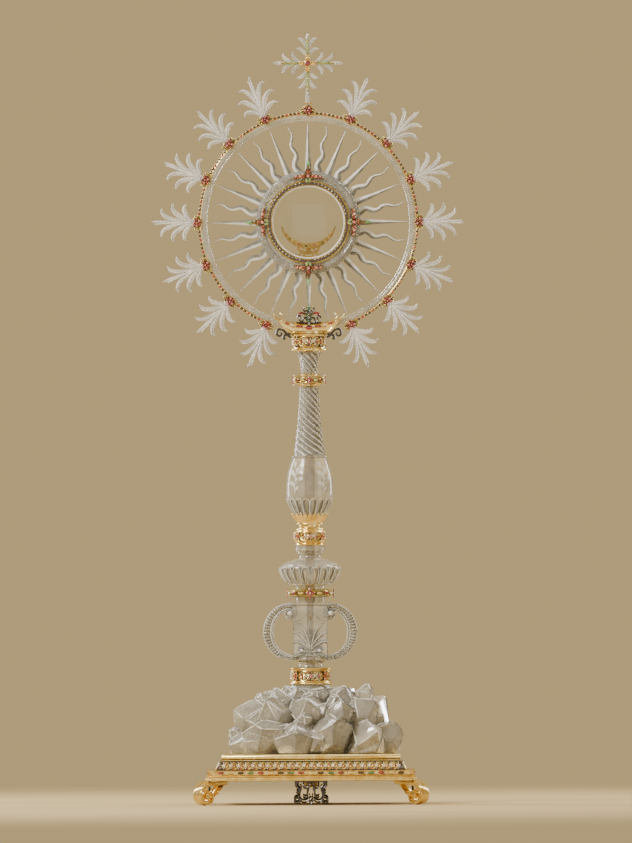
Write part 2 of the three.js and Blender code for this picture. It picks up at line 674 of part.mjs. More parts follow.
function lunula() {
  const leg = (sign) => block(
    [sign * LUNULA_LEG_X - 1.5, sign * LUNULA_LEG_X + 1.5],
    [-6.2, -3.6],
    [RUNNER_TOP - 0.5, -26],
  );
  const runner = block([-13.9, 13.9], [-9.5, 2.5], [RUNNER_BOTTOM, RUNNER_TOP]);
  const post = (sign) => block(
    [sign * 5 - 1.2, sign * 5 + 1.2],
    [CLIP_HINGE_Y - 2.2, CLIP_HINGE_Y + 2.2],
    [RUNNER_TOP - 0.5, CLIP_HINGE_HEIGHT + 2],
  );
  const pinBore = turned([[0, -20], [1, -20], [1, 20], [0, 20]], 12)
    .rotateY(Math.PI / 2)
    .translate(0, CLIP_HINGE_Y, CLIP_HINGE_HEIGHT);
  place(glory, "lunula_front", cut(
    join(plate(crescent(), -6, 2, 24), leg(-1), leg(1), runner, post(-1), post(1)),
    pinBore,
  ), jewelledGilt);

  const barrel = turned([[0, -7.6], [0.7, -7.6], [0.7, 7.6], [0, 7.6]], 10)
    .rotateY(Math.PI / 2)
    .translate(0, CLIP_HINGE_Y, CLIP_HINGE_HEIGHT);
  const hub = turned([[0, -3.4], [1.8, -3.4], [1.8, 3.4], [0, 3.4]], 12)
    .rotateY(Math.PI / 2)
    .translate(0, CLIP_HINGE_Y, CLIP_HINGE_HEIGHT);
  const tang = block([-3.4, 3.4], [CLIP_HINGE_Y - 0.7, CLIP_HINGE_Y + 0.7], [-34, -26]);
  place(glory, "lunula_clip", join(
    plate(crescent(), CLIP_HINGE_Y - 0.7, 1.4, 24), tang, hub, barrel,
  ), gilt);
}

plinth();
feetAndPendants();
mound();
stem();
rodNut();
cradle();
ringAndRim();
rays();
sprays();
topCross();
hostCase();
rearDoor();
turnButton();
lunula();

export default monstrance;
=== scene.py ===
# A standing monstrance of rock crystal, gilt silver, enamel and stones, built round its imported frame.
# Shapes are worked out in millimetres and written in metres. +Z is up and the front faces -Y.

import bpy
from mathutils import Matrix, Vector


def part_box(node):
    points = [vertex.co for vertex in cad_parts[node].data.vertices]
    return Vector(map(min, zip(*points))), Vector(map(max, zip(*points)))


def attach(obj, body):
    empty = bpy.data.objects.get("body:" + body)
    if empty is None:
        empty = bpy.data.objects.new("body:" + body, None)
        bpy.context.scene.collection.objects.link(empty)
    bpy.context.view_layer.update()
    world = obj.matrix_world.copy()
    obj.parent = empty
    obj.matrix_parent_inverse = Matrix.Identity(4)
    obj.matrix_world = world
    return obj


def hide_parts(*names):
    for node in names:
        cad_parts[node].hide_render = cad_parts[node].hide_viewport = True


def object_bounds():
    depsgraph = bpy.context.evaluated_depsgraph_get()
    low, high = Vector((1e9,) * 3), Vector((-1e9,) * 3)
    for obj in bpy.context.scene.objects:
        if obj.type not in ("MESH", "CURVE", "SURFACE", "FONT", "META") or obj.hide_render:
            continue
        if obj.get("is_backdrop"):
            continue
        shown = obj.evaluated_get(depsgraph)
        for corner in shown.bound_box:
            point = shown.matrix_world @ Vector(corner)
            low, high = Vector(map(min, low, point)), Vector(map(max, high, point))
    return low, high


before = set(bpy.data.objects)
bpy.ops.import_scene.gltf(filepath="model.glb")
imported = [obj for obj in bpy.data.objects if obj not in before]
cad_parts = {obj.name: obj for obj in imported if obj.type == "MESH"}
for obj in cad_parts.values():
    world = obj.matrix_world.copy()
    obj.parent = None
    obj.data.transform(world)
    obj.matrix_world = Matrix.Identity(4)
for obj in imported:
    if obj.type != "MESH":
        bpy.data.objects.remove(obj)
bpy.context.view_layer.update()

import itertools
import math
from functools import partial

import bmesh
import bpy
import numpy as np
from mathutils import Vector

MM = 0.001
TAU = 2 * np.pi


def node_box(node):
    """The lowest and highest corner of a frame node, in millimetres."""
    low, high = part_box(node)
    return np.array(low) / MM, np.array(high) / MM


def heights(node):
    """The lowest and highest level of a frame node, in millimetres."""
    low, high = node_box(node)
    return low[2], high[2]


# ---- Finishes ----


def linear(hex_colour):
    """A linear RGBA colour from an sRGB hex value."""
    parts = [int(hex_colour[i : i + 2], 16) / 255 for i in (1, 3, 5)]
    return [c / 12.92 if c <= 0.04045 else ((c + 0.055) / 1.055) ** 2.4 for c in parts] + [1.0]


def add_node(tree, kind, inputs, **settings):
    """Add a node. Settings are its own choices; each input is a value or another node's socket."""
    made = tree.nodes.new(kind)
    for key, value in settings.items():
        setattr(made, key, value)
    for key, value in inputs.items():
        if isinstance(value, bpy.types.NodeSocket):
            tree.links.new(value, made.inputs[key])
        else:
            made.inputs[key].default_value = value
    return made


def finish(name, light, dark, patch, rough, grain, depth, **shader):
    """A finish whose colour drifts from light to dark over patches of a size in mm.

    Its roughness runs over the range rough, and fine grain of a size in mm lifts it by depth in mm.
    Any further values go straight onto the shader's own sockets.
    """
    material = bpy.data.materials.new(name)
    material.use_nodes = True
    tree = material.node_tree
    surface = tree.nodes["Principled BSDF"]
    place = add_node(tree, "ShaderNodeTexCoord", {}).outputs["Object"]
    drift = add_node(
        tree,
        "ShaderNodeTexNoise",
        {"Vector": place, "Scale": 1 / (patch * MM), "Detail": 4.0, "Roughness": 0.6},
    ).outputs["Fac"]
    share = add_node(
        tree,
        "ShaderNodeMapRange",
        {"Value": drift, "From Min": 0.38, "From Max": 0.62},
    ).outputs["Result"]
    colour = add_node(
        tree,
        "ShaderNodeMix",
        {0: share, 6: linear(light), 7: linear(dark)},
        data_type="RGBA",
    ).outputs[2]
    tree.links.new(colour, surface.inputs["Base Color"])
    fine = add_node(
        tree,
        "ShaderNodeTexNoise",
        {"Vector": place, "Scale": 1 / (grain * MM), "Detail": 3.0, "Roughness": 0.55},
    ).outputs["Fac"]
    sheen = add_node(
        tree,
        "ShaderNodeMapRange",
        {"Value": fine, "From Min": 0.3, "From Max": 0.7, "To Min": rough[0], "To Max": rough[1]},
    ).outputs["Result"]
    tree.links.new(sheen, surface.inputs["Roughness"])
    lift = add_node(
        tree, "ShaderNodeBump", {"Height": fine, "Strength": 1.0, "Distance": depth * MM}
    ).outputs["Normal"]
    tree.links.new(lift, surface.inputs["Normal"])
    for key, value in shader.items():
        surface.inputs[key.replace("_", " ")].default_value = value
    return material


# Fire-gilt silver, burnished bright: lemon gold with redder clouds and faint burnishing ripples.
gilt = finish("fire_gilt_silver_burnished", "#fde9a4", "#e8c670", 14, (0.14, 0.3), 2.5, 0.03,
              Metallic=1.0)
# Chased fire-gilt silver: matter and deeper, as the punched grounds of the jewelled mounts are.
chased = finish("fire_gilt_silver_chased", "#f2d88c", "#c29c50", 5, (0.22, 0.45), 0.8, 0.05,
                Metallic=1.0)
# Drawn brass, left plain where it is hidden: duller and greener than the gilding.
plain_brass = finish("drawn_brass_plain", "#b89b52", "#8f7434", 10, (0.25, 0.45), 1.2, 0.03,
                     Metallic=1.0)
# Rock crystal, wheel-cut and polished: clear quartz, whitened by veils and cloudy patches.
crystal = finish("rock_crystal_cut_and_polished", "#f9f9f4", "#dadcd8", 16, (0.04, 0.14), 3.0, 0.05,
                 Transmission_Weight=0.78, IOR=1.544, Specular_IOR_Level=0.6)
# Rock crystal leaves, polished only softly: milky, with broad quiet highlights.
leaf_crystal = finish("rock_crystal_softly_polished", "#f6f4ee", "#d3d3ce", 14, (0.14, 0.26), 4.0, 0.02,
                      Transmission_Weight=0.4, IOR=1.544)
# Natural quartz: broken faces with growth ripples, greyer than the cut stones.
quartz = finish("rock_crystal_natural_faces", "#fdf9ec", "#e0dccd", 22, (0.1, 0.24), 12.0, 0.04,
                Transmission_Weight=0.72, IOR=1.544, Specular_IOR_Level=0.6)
# Rock crystal left matt and white by the engraving wheel, for engraved lines; also laid on lit edges,
# facets and ridges as painted highlight.
engraved_and_highlight_white = finish("rock_crystal_engraved_and_painted_highlight", "#ffffff", "#dfe2e0", 6, (0.4, 0.6), 0.8, 0.05,
                  Transmission_Weight=0.15, IOR=1.544)
# Grey rock crystal laid in grooves and hollows and on the sides turned from the light: painted shade.
painted_shade_grey = finish("rock_crystal_painted_shade_grey", "#9b9b93", "#73746e", 6, (0.45, 0.65), 0.8, 0.05,
                Transmission_Weight=0.3, IOR=1.544)
# Crown glass for the panes: clear, with a slow ripple.
pane = finish("crown_glass_pane", "#ffffff", "#fbfdfc", 30, (0.0, 0.02), 25.0, 0.03,
              Transmission_Weight=1.0, IOR=1.5, Specular_IOR_Level=0.25)
# Garnets and rubies, foiled behind: a deep red that lights up pink where it is thin.
red_stone = finish("garnet_cut_and_foiled", "#b3283a", "#5a0f19", 3, (0.03, 0.1), 1.0, 0.02,
                   IOR=1.76, Coat_Weight=0.6)
# Pale rubies and pink spinels, foiled behind.
pink_stone = finish("pink_spinel_foiled", "#eba0a4", "#bf4a5c", 3, (0.03, 0.1), 1.0, 0.02,
                    IOR=1.72, Coat_Weight=0.6)
# Emeralds and green enamelled leaves.
green_stone = finish("emerald_cut_and_foiled", "#4f8f56", "#20502f", 3, (0.03, 0.12), 1.0, 0.02,
                     IOR=1.58, Coat_Weight=0.6)
# Pale green enamel over silver, for leaf tips.
green_enamel = finish("translucent_green_enamel", "#9fc58a", "#5f9a5c", 3, (0.08, 0.18), 1.0, 0.02,
                      Coat_Weight=0.8)
# Dark garnets that look black from the front.
dark_stone = finish("dark_garnet_cut", "#3a1a14", "#120d0b", 3, (0.03, 0.1), 1.0, 0.02,
                    IOR=1.76, Coat_Weight=0.6)
# Yellow topazes and citrines, foiled behind.
yellow_stone = finish("topaz_cut_and_foiled", "#f0dc8a", "#c9a23e", 3, (0.03, 0.1), 1.0, 0.02,
                      IOR=1.62, Coat_Weight=0.6)
# Seed pearls: cream, with a soft shine.
pearl = finish("seed_pearl", "#fbf4e6", "#e3d4bb", 2, (0.12, 0.25), 1.0, 0.01, Coat_Weight=0.4)
# White enamel flowers: opaque tin white, fired glossy.
white_enamel = finish("white_tin_enamel", "#f8f3e6", "#ddd2bd", 4, (0.08, 0.2), 1.0, 0.02,
                      Coat_Weight=0.5)
# Black enamel over silver: brown-black, fired glossy.
black_enamel = finish("black_enamel_over_silver", "#2b211c", "#15100d", 5, (0.1, 0.3), 1.5, 0.04,
                      Coat_Weight=0.5)
# Brown enamel for the grounds of the jewelled bands, flecked with gold.
brown_enamel = finish("brown_flecked_enamel", "#54391a", "#1a110b", 1.2, (0.1, 0.3), 0.8, 0.04,
                      Coat_Weight=0.5)

# ---- Making meshes ----


def close(points, ring=False):
    """Close grids of points into solids.

    A grid always closes round its second way. Along its first way it closes as a ring, or each end
    is filled by a fan to the middle of its last row. Solids that come out inside out are reversed.
    """
    points = np.asarray(points, float)
    points = points.reshape(-1, *points.shape[-3:])
    copies, rows, columns, _ = points.shape
    grid = np.arange(rows * columns).reshape(rows, columns)
    beside = np.roll(grid, -1, axis=1)
    here = np.arange(rows if ring else rows - 1)
    ahead = (here + 1) % rows
    quads = np.stack([grid[here], beside[here], beside[ahead], grid[ahead]], -1).reshape(-1, 4)
    vertices = points.reshape(copies, -1, 3)
    triangles = np.zeros((0, 3), int)
    if not ring:
        ends = np.stack([points[:, 0].mean(1), points[:, -1].mean(1)], 1)
        vertices = np.concatenate([vertices, ends], 1)
        first, last = (np.full(columns, rows * columns + k) for k in (0, 1))
        triangles = np.concatenate([
            np.stack([beside[0], grid[0], first], -1), np.stack([grid[-1], beside[-1], last], -1)
        ])
    halves = np.concatenate([quads[:, [0, 1, 2]], quads[:, [0, 2, 3]], triangles])
    a, b, c = (vertices[:, halves[:, k]] - vertices[:, :1] for k in range(3))
    inside_out = np.einsum("kij,kij->k", a, np.cross(b, c)) < 0
    step = (np.arange(copies) * vertices.shape[1])[:, None, None]

    def spread(faces):
        turned_over = np.where(inside_out[:, None, None], faces[None, :, ::-1], faces[None])
        return (turned_over + step).reshape(-1, faces.shape[1])

    return vertices.reshape(-1, 3), spread(quads), spread(triangles)


def finish_piece(name, mesh, material, stands_for, body, crease):
    """Shade a mesh, give it its finish, and fix it to its body of the frame."""
    mesh.update(calc_edges=True)
    mesh.validate()
    mesh.shade_smooth()
    mesh.set_sharp_from_angle(angle=math.radians(crease))
    mesh.materials.append(material)
    made = bpy.data.objects.new(name, mesh)
    bpy.context.scene.collection.objects.link(made)
    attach(made, body)
    if stands_for:
        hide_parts(*stands_for)
    return made


def piece(name, solids, material, slot, stands_for=(), body="stand", crease=40):
    """Write closed solids, in millimetres, as one named piece."""
    vertices, quads, triangles, passed = [], [], [], 0
    for own_vertices, own_quads, own_triangles in solids:
        vertices.append(own_vertices)
        quads.append(own_quads + passed)
        triangles.append(own_triangles + passed)
        passed += len(own_vertices)
    vertices, quads, triangles = (np.concatenate(part) for part in (vertices, quads, triangles))
    mesh = bpy.data.meshes.new(name)
    mesh.vertices.add(len(vertices))
    mesh.vertices.foreach_set("co", (vertices * MM).astype(np.float32).ravel())
    corners = np.concatenate([quads.ravel(), triangles.ravel()]).astype(np.int32)
    mesh.loops.add(len(corners))
    mesh.loops.foreach_set("vertex_index", corners)
    starts = np.concatenate([
        np.arange(len(quads)) * 4, len(quads) * 4 + np.arange(len(triangles)) * 3
    ]).astype(np.int32)
    mesh.polygons.add(len(starts))
    mesh.polygons.foreach_set("loop_start", starts)
    return finish_piece(name, mesh, material, stands_for, body, crease)


# ---- Curves ----


def through(points, between=8):
    """A smooth curve through points: the Catmull-Rom cubic of each span, sampled evenly."""
    points = np.asarray(points, float)
    padded = np.vstack([2 * points[0] - points[1], points, 2 * points[-1] - points[-2]])
    before, start, end, after = (padded[k : len(padded) - 3 + k, None] for k in range(4))
    t = np.linspace(0, 1, between, endpoint=False)[None, :, None]
    spans = 0.5 * (
        2 * start
        + (end - before) * t
        + (2 * before - 5 * start + 4 * end - after) * t**2
        + (3 * start - before - 3 * end + after) * t**3
    )
    return np.vstack([spans.reshape(-1, points.shape[1]), points[-1]])


def winding(start, length, heading, bend, curl=0.0, power=4.0, count=22):
    """A flat path of a length. Its heading, in degrees clockwise from straight up, is
    heading + bend t + curl t^power, where t runs from 0 to 1 along it."""
    t = np.linspace(0, 1, count)
    way = np.radians(heading + bend * t + curl * t**power)
    step = np.stack([np.sin(way), np.cos(way)], -1) * length / (count - 1)
    moved = np.cumsum((step[1:] + step[:-1]) / 2, axis=0)
    return np.vstack([[0.0, 0.0], moved]) + start


def spiral(centre, outer, inner, start, turns, count=40):
    """A flat spiral: the distance from its centre shrinks evenly in ratio from outer to inner,
    while its bearing, clockwise from straight up, runs through a number of turns from start."""
    t = np.linspace(0, 1, count)
    reach = outer * (inner / outer) ** t
    bearing = np.radians(start) + TAU * turns * t
    return np.stack([np.sin(bearing), np.cos(bearing)], -1) * reach[:, None] + centre


def blade(count, point=0.8, root=0.35):
    """The half width of a leaf along its length, as a share: from root, swelling, to a point."""
    t = np.linspace(0, 1, count)
    return np.maximum(np.sin(np.pi * (root + (1 - root) * t) ** 1.2) ** point, 0.04)


def around(count, start=0.0):
    """Points of a unit circle."""
    angle = np.arange(count) * TAU / count + start
    return np.stack([np.cos(angle), np.sin(angle)], -1)


ROUND = around(8)
RIDGE = np.array([(-1, 0), (-0.12, 0.95), (0.12, 0.95), (1, 0), (0, -0.6)])
LEAF = np.array([(-1, 0.1), (-0.6, 0.7), (-0.12, 0.5), (0, 1), (0.12, 0.5), (0.6, 0.7), (1, 0.1),
                 (0, -0.5)])
BAND = np.array([(-1, -0.95), (-0.92, -1), (0.92, -1), (1, -0.95), (1, 0.95), (0.92, 1),
                 (0.78, 1), (0.7, 0.93), (-0.7, 0.93), (-0.78, 1), (-0.92, 1), (-1, 0.95)])


def strip(path, across, forward, section=ROUND, lift=0.0):
    """A bar along a flat path. Each cross-section point moves across the path by its first number
    times across, and forward, out of the path's plane, by its second times forward."""
    path = np.asarray(path, float)
    along = np.gradient(path, axis=0)
    along /= np.maximum(np.linalg.norm(along, axis=1, keepdims=True), 1e-9)
    side = np.stack([along[:, 1], -along[:, 0]], -1)
    across, forward, lift = (
        np.broadcast_to(np.asarray(v, float), len(path))[:, None] for v in (across, forward, lift)
    )
    flat = path[:, None] + side[:, None] * (across * section[..., 0])[..., None]
    return np.concatenate([flat, (forward * section[..., 1] + lift)[..., None]], -1)


def mirrored(points):
    """The points and their reflection across the middle."""
    return np.stack([points, points * [-1, 1, 1]])


# ---- Carrying local (right, up, forward) points to their places ----


def facing(points, x=0.0, z=0.0, y=0.0, lean=0.0):
    """Onto a plane through y that faces the front, leaning back by an angle in degrees."""
    u, v, w = np.moveaxis(points, -1, 0)
    back, up = math.sin(math.radians(lean)), math.cos(math.radians(lean))
    return np.stack([x + u, y + v * back - w * up, z + v * up + w * back], -1)


def wrapped(points, radius, z=0.0, turns=(0.0,)):
    """Onto an upright turned body: right becomes a way round it, and forward a way out of it. Its
    radius is a number, or a profile of (radius, level)."""
    u, v, w = np.moveaxis(np.asarray(points, float), -1, 0)
    turns = np.radians(np.asarray(turns, float)).reshape(-1, *[1] * u.ndim)
    if np.ndim(radius):
        profile = np.asarray(radius, float)
        radius = np.interp(z + v, profile[:, 1], profile[:, 0])
    bearing = turns + u / radius
    level = np.broadcast_to(z + v, bearing.shape)
    return np.stack([(radius + w) * np.sin(bearing), -(radius + w) * np.cos(bearing), level], -1)


def turned_about(points, turns):
    """Copies turned about the upright axis by angles in degrees, anticlockwise from above."""
    a = np.radians(np.asarray(turns, float)).reshape(-1, *[1] * (points.ndim - 1))
    x, y, z = np.moveaxis(points, -1, 0)
    level = np.broadcast_to(z, (len(a), *z.shape))
    return np.stack([x * np.cos(a) - y * np.sin(a), x * np.sin(a) + y * np.cos(a), level], -1)


QUARTERS = np.arange(4) * 90.0
GLORY_Z = sum(heights("glory_ring")) / 2


def about_glory(points, clockwise, y=0.0):
    """Onto the glory: up becomes outward from the ring's axis, at angles clockwise from its top."""
    a = np.radians(np.atleast_1d(clockwise)).reshape(-1, *[1] * (points.ndim - 1))
    u, v, w = np.moveaxis(points, -1, 0)
    forward = np.broadcast_to(y - w, (len(a), *w.shape))
    return np.stack([
        u * np.cos(a) + v * np.sin(a), forward, GLORY_Z - u * np.sin(a) + v * np.cos(a)
    ], -1)


# ---- Turned, ringed and square shapes ----


def turned(profile, columns=96, swell=0.0):
    """A profile of (radius, level) carried round the upright axis; swell adds to the radius."""
    profile = np.asarray(profile, float)
    angle = np.arange(columns) * TAU / columns
    radius = profile[:, :1] + np.zeros(columns) + swell
    level = np.broadcast_to(profile[:, 1:], radius.shape)
    return np.stack([radius * np.sin(angle), -radius * np.cos(angle), level], -1)


def ringed(profile, columns=160, x=0.0, z=GLORY_Z):
    """A profile of (radius, y) carried round an axis that runs from front to back."""
    profile = np.asarray(profile, float)
    angle = np.arange(columns) * TAU / columns
    radius = profile[:, :1] + np.zeros(columns)
    depth = np.broadcast_to(profile[:, 1:], radius.shape)
    return np.stack([x + radius * np.sin(angle), depth, z + radius * np.cos(angle)], -1)


def fluted(profile, columns, count, depth, low, top, arch=0.0, twist=0.0, sharp=0.8):
    """How far flutes cut into a turned profile: round it, each is a scoop to a depth, and it fades
    out at its lowest level and at its top, which is arched. They may wind at twist radians a mm."""
    level = np.asarray(profile, float)[:, 1:]
    angle = np.arange(columns) * TAU / columns
    scoop = np.abs(np.cos(count * (angle + twist * (level - low)) / 2))
    end = top - arch * (1 - scoop)
    fade = np.clip(end - level, 0, 1) * np.clip(level - low, 0, 1)
    return -depth * scoop**sharp * fade


def mitred(profile, corner=0.5, narrower=0.0):
    """A profile of (half width, level) carried round a square, or a rectangle that is narrower from
    front to back, with its corners just taken off."""
    profile = np.asarray(profile, float)
    half = profile[:, :1]
    short = np.maximum(half - corner, half * 0.2)
    x = np.hstack([half, half, short, -short, -half, -half, -short, short])
    y = np.hstack([-short, short, half, half, short, -short, -half, -half])
    y = np.sign(y) * np.maximum(np.abs(y) - narrower, 0.2)
    return np.stack([x, y, np.broadcast_to(profile[:, 1:], x.shape)], -1)


# ---- Stones, beads and their settings ----


def cut_stones(spots):
    """Table-cut stones. A spot is (right, up, turn in degrees, half length, half width, height,
    foot); each stone is an eight-sided girdle drawn in to a small flat table."""
    spots = np.asarray(spots, float)[:, :, None, None]
    outline = around(8, TAU / 16)
    outline = np.sign(outline) * np.abs(outline) ** 0.7
    scale = np.array([1, 1, 0.74, 0.45])[:, None]
    level = np.array([0, 0.4, 0.82, 1.0])[:, None]
    a, b = outline[None, :, 0] * scale, outline[None, :, 1] * scale
    turn = np.radians(spots[:, 2])
    long, wide = a * spots[:, 3], b * spots[:, 4]
    u = spots[:, 0] + long * np.cos(turn) - wide * np.sin(turn)
    v = spots[:, 1] + long * np.sin(turn) + wide * np.cos(turn)
    w = spots[:, 6] + level * spots[:, 5] + 0 * u
    return np.stack([u, v, w], -1)


def beads(spots):
    """Round beads. A spot is (right, up, radius, height of its middle)."""
    spots = np.asarray(spots, float)[:, :, None, None]
    lift = np.radians([-78, -42, 0, 42, 78])[:, None]
    circle = around(8)
    u = spots[:, 0] + spots[:, 2] * np.cos(lift) * circle[None, :, 0]
    v = spots[:, 1] + spots[:, 2] * np.cos(lift) * circle[None, :, 1]
    w = spots[:, 3] + spots[:, 2] * np.sin(lift) + 0 * u
    return np.stack([u, v, w], -1)


STONES = {
    "garnets": (red_stone, "red_stone"),
    "spinels": (pink_stone, "red_stone"),
    "emeralds": (green_stone, "green_stone"),
    "green_leaves": (green_enamel, "green_stone"),
    "white_petals": (white_enamel, "pearl"),
    "dark_garnets": (dark_stone, "dark_stone"),
    "topazes": (yellow_stone, "green_stone"),
}
BEADS = {
    "green_beads": (green_stone, "green_stone"),
    "pearls": (pearl, "pearl"),
    "gold_beads": (gilt, "gilt"),
    "white_beads": (white_enamel, "pearl"),
}

STONE_LIFT = 0.25  # how far a stone's base is above its collet's, in mm
COLLET_HEIGHT = 0.6  # as a share of the stone's
BEAD_RISE = 0.7  # a bead's middle above its seat, as a share of its radius
STONE_CREASE = 20  # in degrees, so that every facet stays crisp


def both(right, up, *rest):
    """A spot on the left and its mirror image on the right. A stone's turn changes sign too."""
    turn = (rest[0],) if len(rest) == 3 else ()
    sizes = rest[len(turn):]
    return [(sign * right, up, *(sign * t for t in turn), *sizes) for sign in (-1, 1)]


def jewels(mount, spots, carry, body="stand", high=1.4, foot=0.0, collet=0.32):
    """Set a mount's stones, each in a gold collet, and its beads. Spots are listed by kind: a stone
    is (right, up, turn, half length, half width), and a bead is (right, up, radius)."""
    collets = []
    for kind, rows in spots.items():
        if kind in STONES:
            stones = [(*row, high, foot + STONE_LIFT) for row in rows]
            piece(f"{mount}_{kind}", [close(carry(cut_stones(stones)))], *STONES[kind], body=body,
                  crease=STONE_CREASE)
            collets += [(u, v, turn, long + collet, wide + collet, high * COLLET_HEIGHT, foot)
                        for u, v, turn, long, wide in rows]
        else:
            round_ones = [(u, v, size, foot + size * BEAD_RISE) for u, v, size in rows]
            piece(f"{mount}_{kind}", [close(carry(beads(round_ones)))], *BEADS[kind], body=body)
    if collets:
        piece(f"{mount}_collets", [close(carry(cut_stones(collets)))], chased, "jewelled_gilt",
              body=body, crease=STONE_CREASE)


# ---- Plinth, feet and pendants ----


def on_sides(points, y, z, lean=0.0):
    """Onto the four sides of the plinth."""
    return turned_about(facing(points, z=z, y=y, lean=lean), QUARTERS)


def plinth():
    """Two mitred gilt mouldings with a jewelled band and a foliate band between them."""
    lower = [(106, 32.4), (112, 32.4), (112, 29), (125.2, 29), (126, 29.3), (126.4, 30.2), (126.4, 31.6),
             (125.6, 32.6), (124.9, 33), (124.7, 33.6), (125.1, 34.1), (125.1, 34.9), (124.5, 35.4),
             (106, 35.4)]
    piece("plinth_lower_mitred_moulding", [close(mitred(lower), ring=True)], gilt, "gilt",
          ["plinth_lower_moulding"])
    upper = [(4.4, 57.7), (98, 57.7), (98, 52.8), (104.8, 52.8), (105.4, 53.1), (105.4, 53.9),
             (106.4, 54.3), (107, 55.2), (107, 58.2), (106.5, 59.2), (105.7, 59.8), (105.3, 60.7),
             (4.4, 60.7)]
    piece("plinth_upper_mitred_moulding", [close(mitred(upper), ring=True)], gilt, "gilt",
          ["plinth_upper_moulding"])
    band = [(106, 35.7), (124, 35.7), (124.4, 36.1), (124.4, 36.7), (123.4, 37), (123.4, 40.2),
            (124.4, 40.5), (124.4, 41.1), (124, 41.5), (106, 41.5)]
    piece("plinth_jewel_band_ground", [close(mitred(band), ring=True)], chased, "jewelled_gilt",
          ["plinth_jewel_band"])
    cove = [(101, 41.8), (113.3, 41.8), (113.3, 42.6), (111, 44.6), (109.3, 47.4), (108.5, 50),
            (108.9, 51.6), (108.9, 52.5), (101, 52.5)]
    piece("plinth_foliate_band_ground", [close(mitred(cove), ring=True)], brown_enamel, "jewelled_gilt",
          ["plinth_foliate_band"])
    plate = [(0.5, 29.1), (111.7, 29.1), (111.7, 32.1), (0.5, 32.1)]
    piece("plinth_base_sheet", [close(mitred(plate, corner=0.2), ring=True)], plain_brass,
          "plain_brass", ["plinth_base_plate"])

    stone_pitch = 12.0
    places = (np.arange(19) - 9) * stone_pitch
    cycle = ["garnets", "topazes", "dark_garnets", "emeralds"]
    spots = {kind: [(u, 0, 0, 3.9, 1.35) for u in places[k::4]] for k, kind in enumerate(cycle)}
    spots["white_beads"] = [(u + s, 0, 0.75) for u in places[:-1] for s in (5.2, 6.8)]
    jewels("plinth_band", spots, partial(on_sides, y=-123.4, z=38.6), high=1.2)

    on_cove = partial(on_sides, y=-111, z=47, lean=27)
    flower_pitch = 8.7
    flowers = (np.arange(25) - 12) * flower_pitch
    vine = spiral((0, 0), 3.3, 0.7, 150, 1.35, 18)
    stem = np.array([[4.2, -4.2], [3.2, -2.4], [2.4, 0.4]])
    curls = []
    for u in flowers[:-1]:
        for sign in (-1, 1):
            for path, half in ((vine * [sign, sign] + [u + 4.2 - 1.4 * sign, 0.6 * sign], 0.42),
                               (through(stem * [sign, 1], 3) + [u, 0], 0.35)):
                curls.append(close(on_cove(strip(path, half, 0.7, around(5), 0.5))))
    piece("plinth_foliate_vines", curls, gilt, "gilt")
    petals = [(u + 1.6 * math.cos(a), 1.6 * math.sin(a), math.degrees(a), 1.1, 0.65)
              for u in flowers for a in np.arange(5) * TAU / 5 + 0.3]
    leaves = [(u + 4.2 + a, b, turn, 1.4, 0.6) for u in flowers[:-1]
              for a, b, turn in ((-1.8, 3.7, 30), (1.8, -3.7, 30), (1.2, 4.1, -25),
                                 (-1.2, -4.1, -25), (0, 0, 70))]
    jewels("plinth_foliage", {
        "white_petals": petals,
        "topazes": leaves[::5] + leaves[1::5],
        "emeralds": leaves[2::5],
        "garnets": leaves[3::5],
        "spinels": leaves[4::5],
        "gold_beads": [(u, 0, 0.7) for u in flowers],
        "white_beads": [(u, b, 0.75) for u in flowers for b in (-3.9, 3.9)],
    }, on_cove, high=0.9, foot=0.2)


def feet():
    """A scroll foot: a strap that leaves the plinth's corner, swells over a knee and coils in."""
    strap = through([(148, 26.6), (158, 26.0), (170, 25.6), (182, 23.6), (190.2, 17.5), (191.4, 9.5),
                     (186.6, 3.9), (179.6, 2.4), (173.6, 4.8), (171.4, 9.6), (173.6, 14.6), (178.6, 16),
                     (182.4, 12.8), (182, 9), (179.2, 8)], 7)
    t = np.linspace(0, 1, len(strap))
    half = 2.0 - 0.8 * t
    width = 6.9 - 1.4 * t
    leaf = through([(150, 25), (157, 22.6), (163, 18), (166.6, 12), (170.4, 7)], 7)
    small = through([(151, 25), (155, 20), (159.6, 16.6), (161.6, 12.6)], 7)
    bars = [(strap, half, width, BAND), (leaf, 1.5 * blade(len(leaf), 0.6), 5.0, LEAF),
            (small, 1.1 * blade(len(small), 0.6), 3.6, LEAF)]
    rib = (strap[: len(strap) * 5 // 8], 2.15, 1.2, ROUND)
    corners = {"rear_right": 45, "rear_left": 135, "front_left": 225, "front_right": 315}
    for corner, turn in corners.items():
        solids = []
        for path, across, forward, section in (*bars, rib):
            points = strip(path, across, forward, section)
            u, v, w = np.moveaxis(points, -1, 0)
            solids.append(close(turned_about(np.stack([u, w, v], -1), [turn])))
        eye = [(0.4, -7), (1.8, -6.9), (2.3, -6.2), (2.3, 6.2), (1.8, 6.9), (0.4, 7)]
        solids.append(close(turned_about(ringed(eye, 16, 179.6, 10), [turn])))
        piece(f"foot_{corner}_scroll", solids, gilt, "gilt", [f"foot_{corner}"])


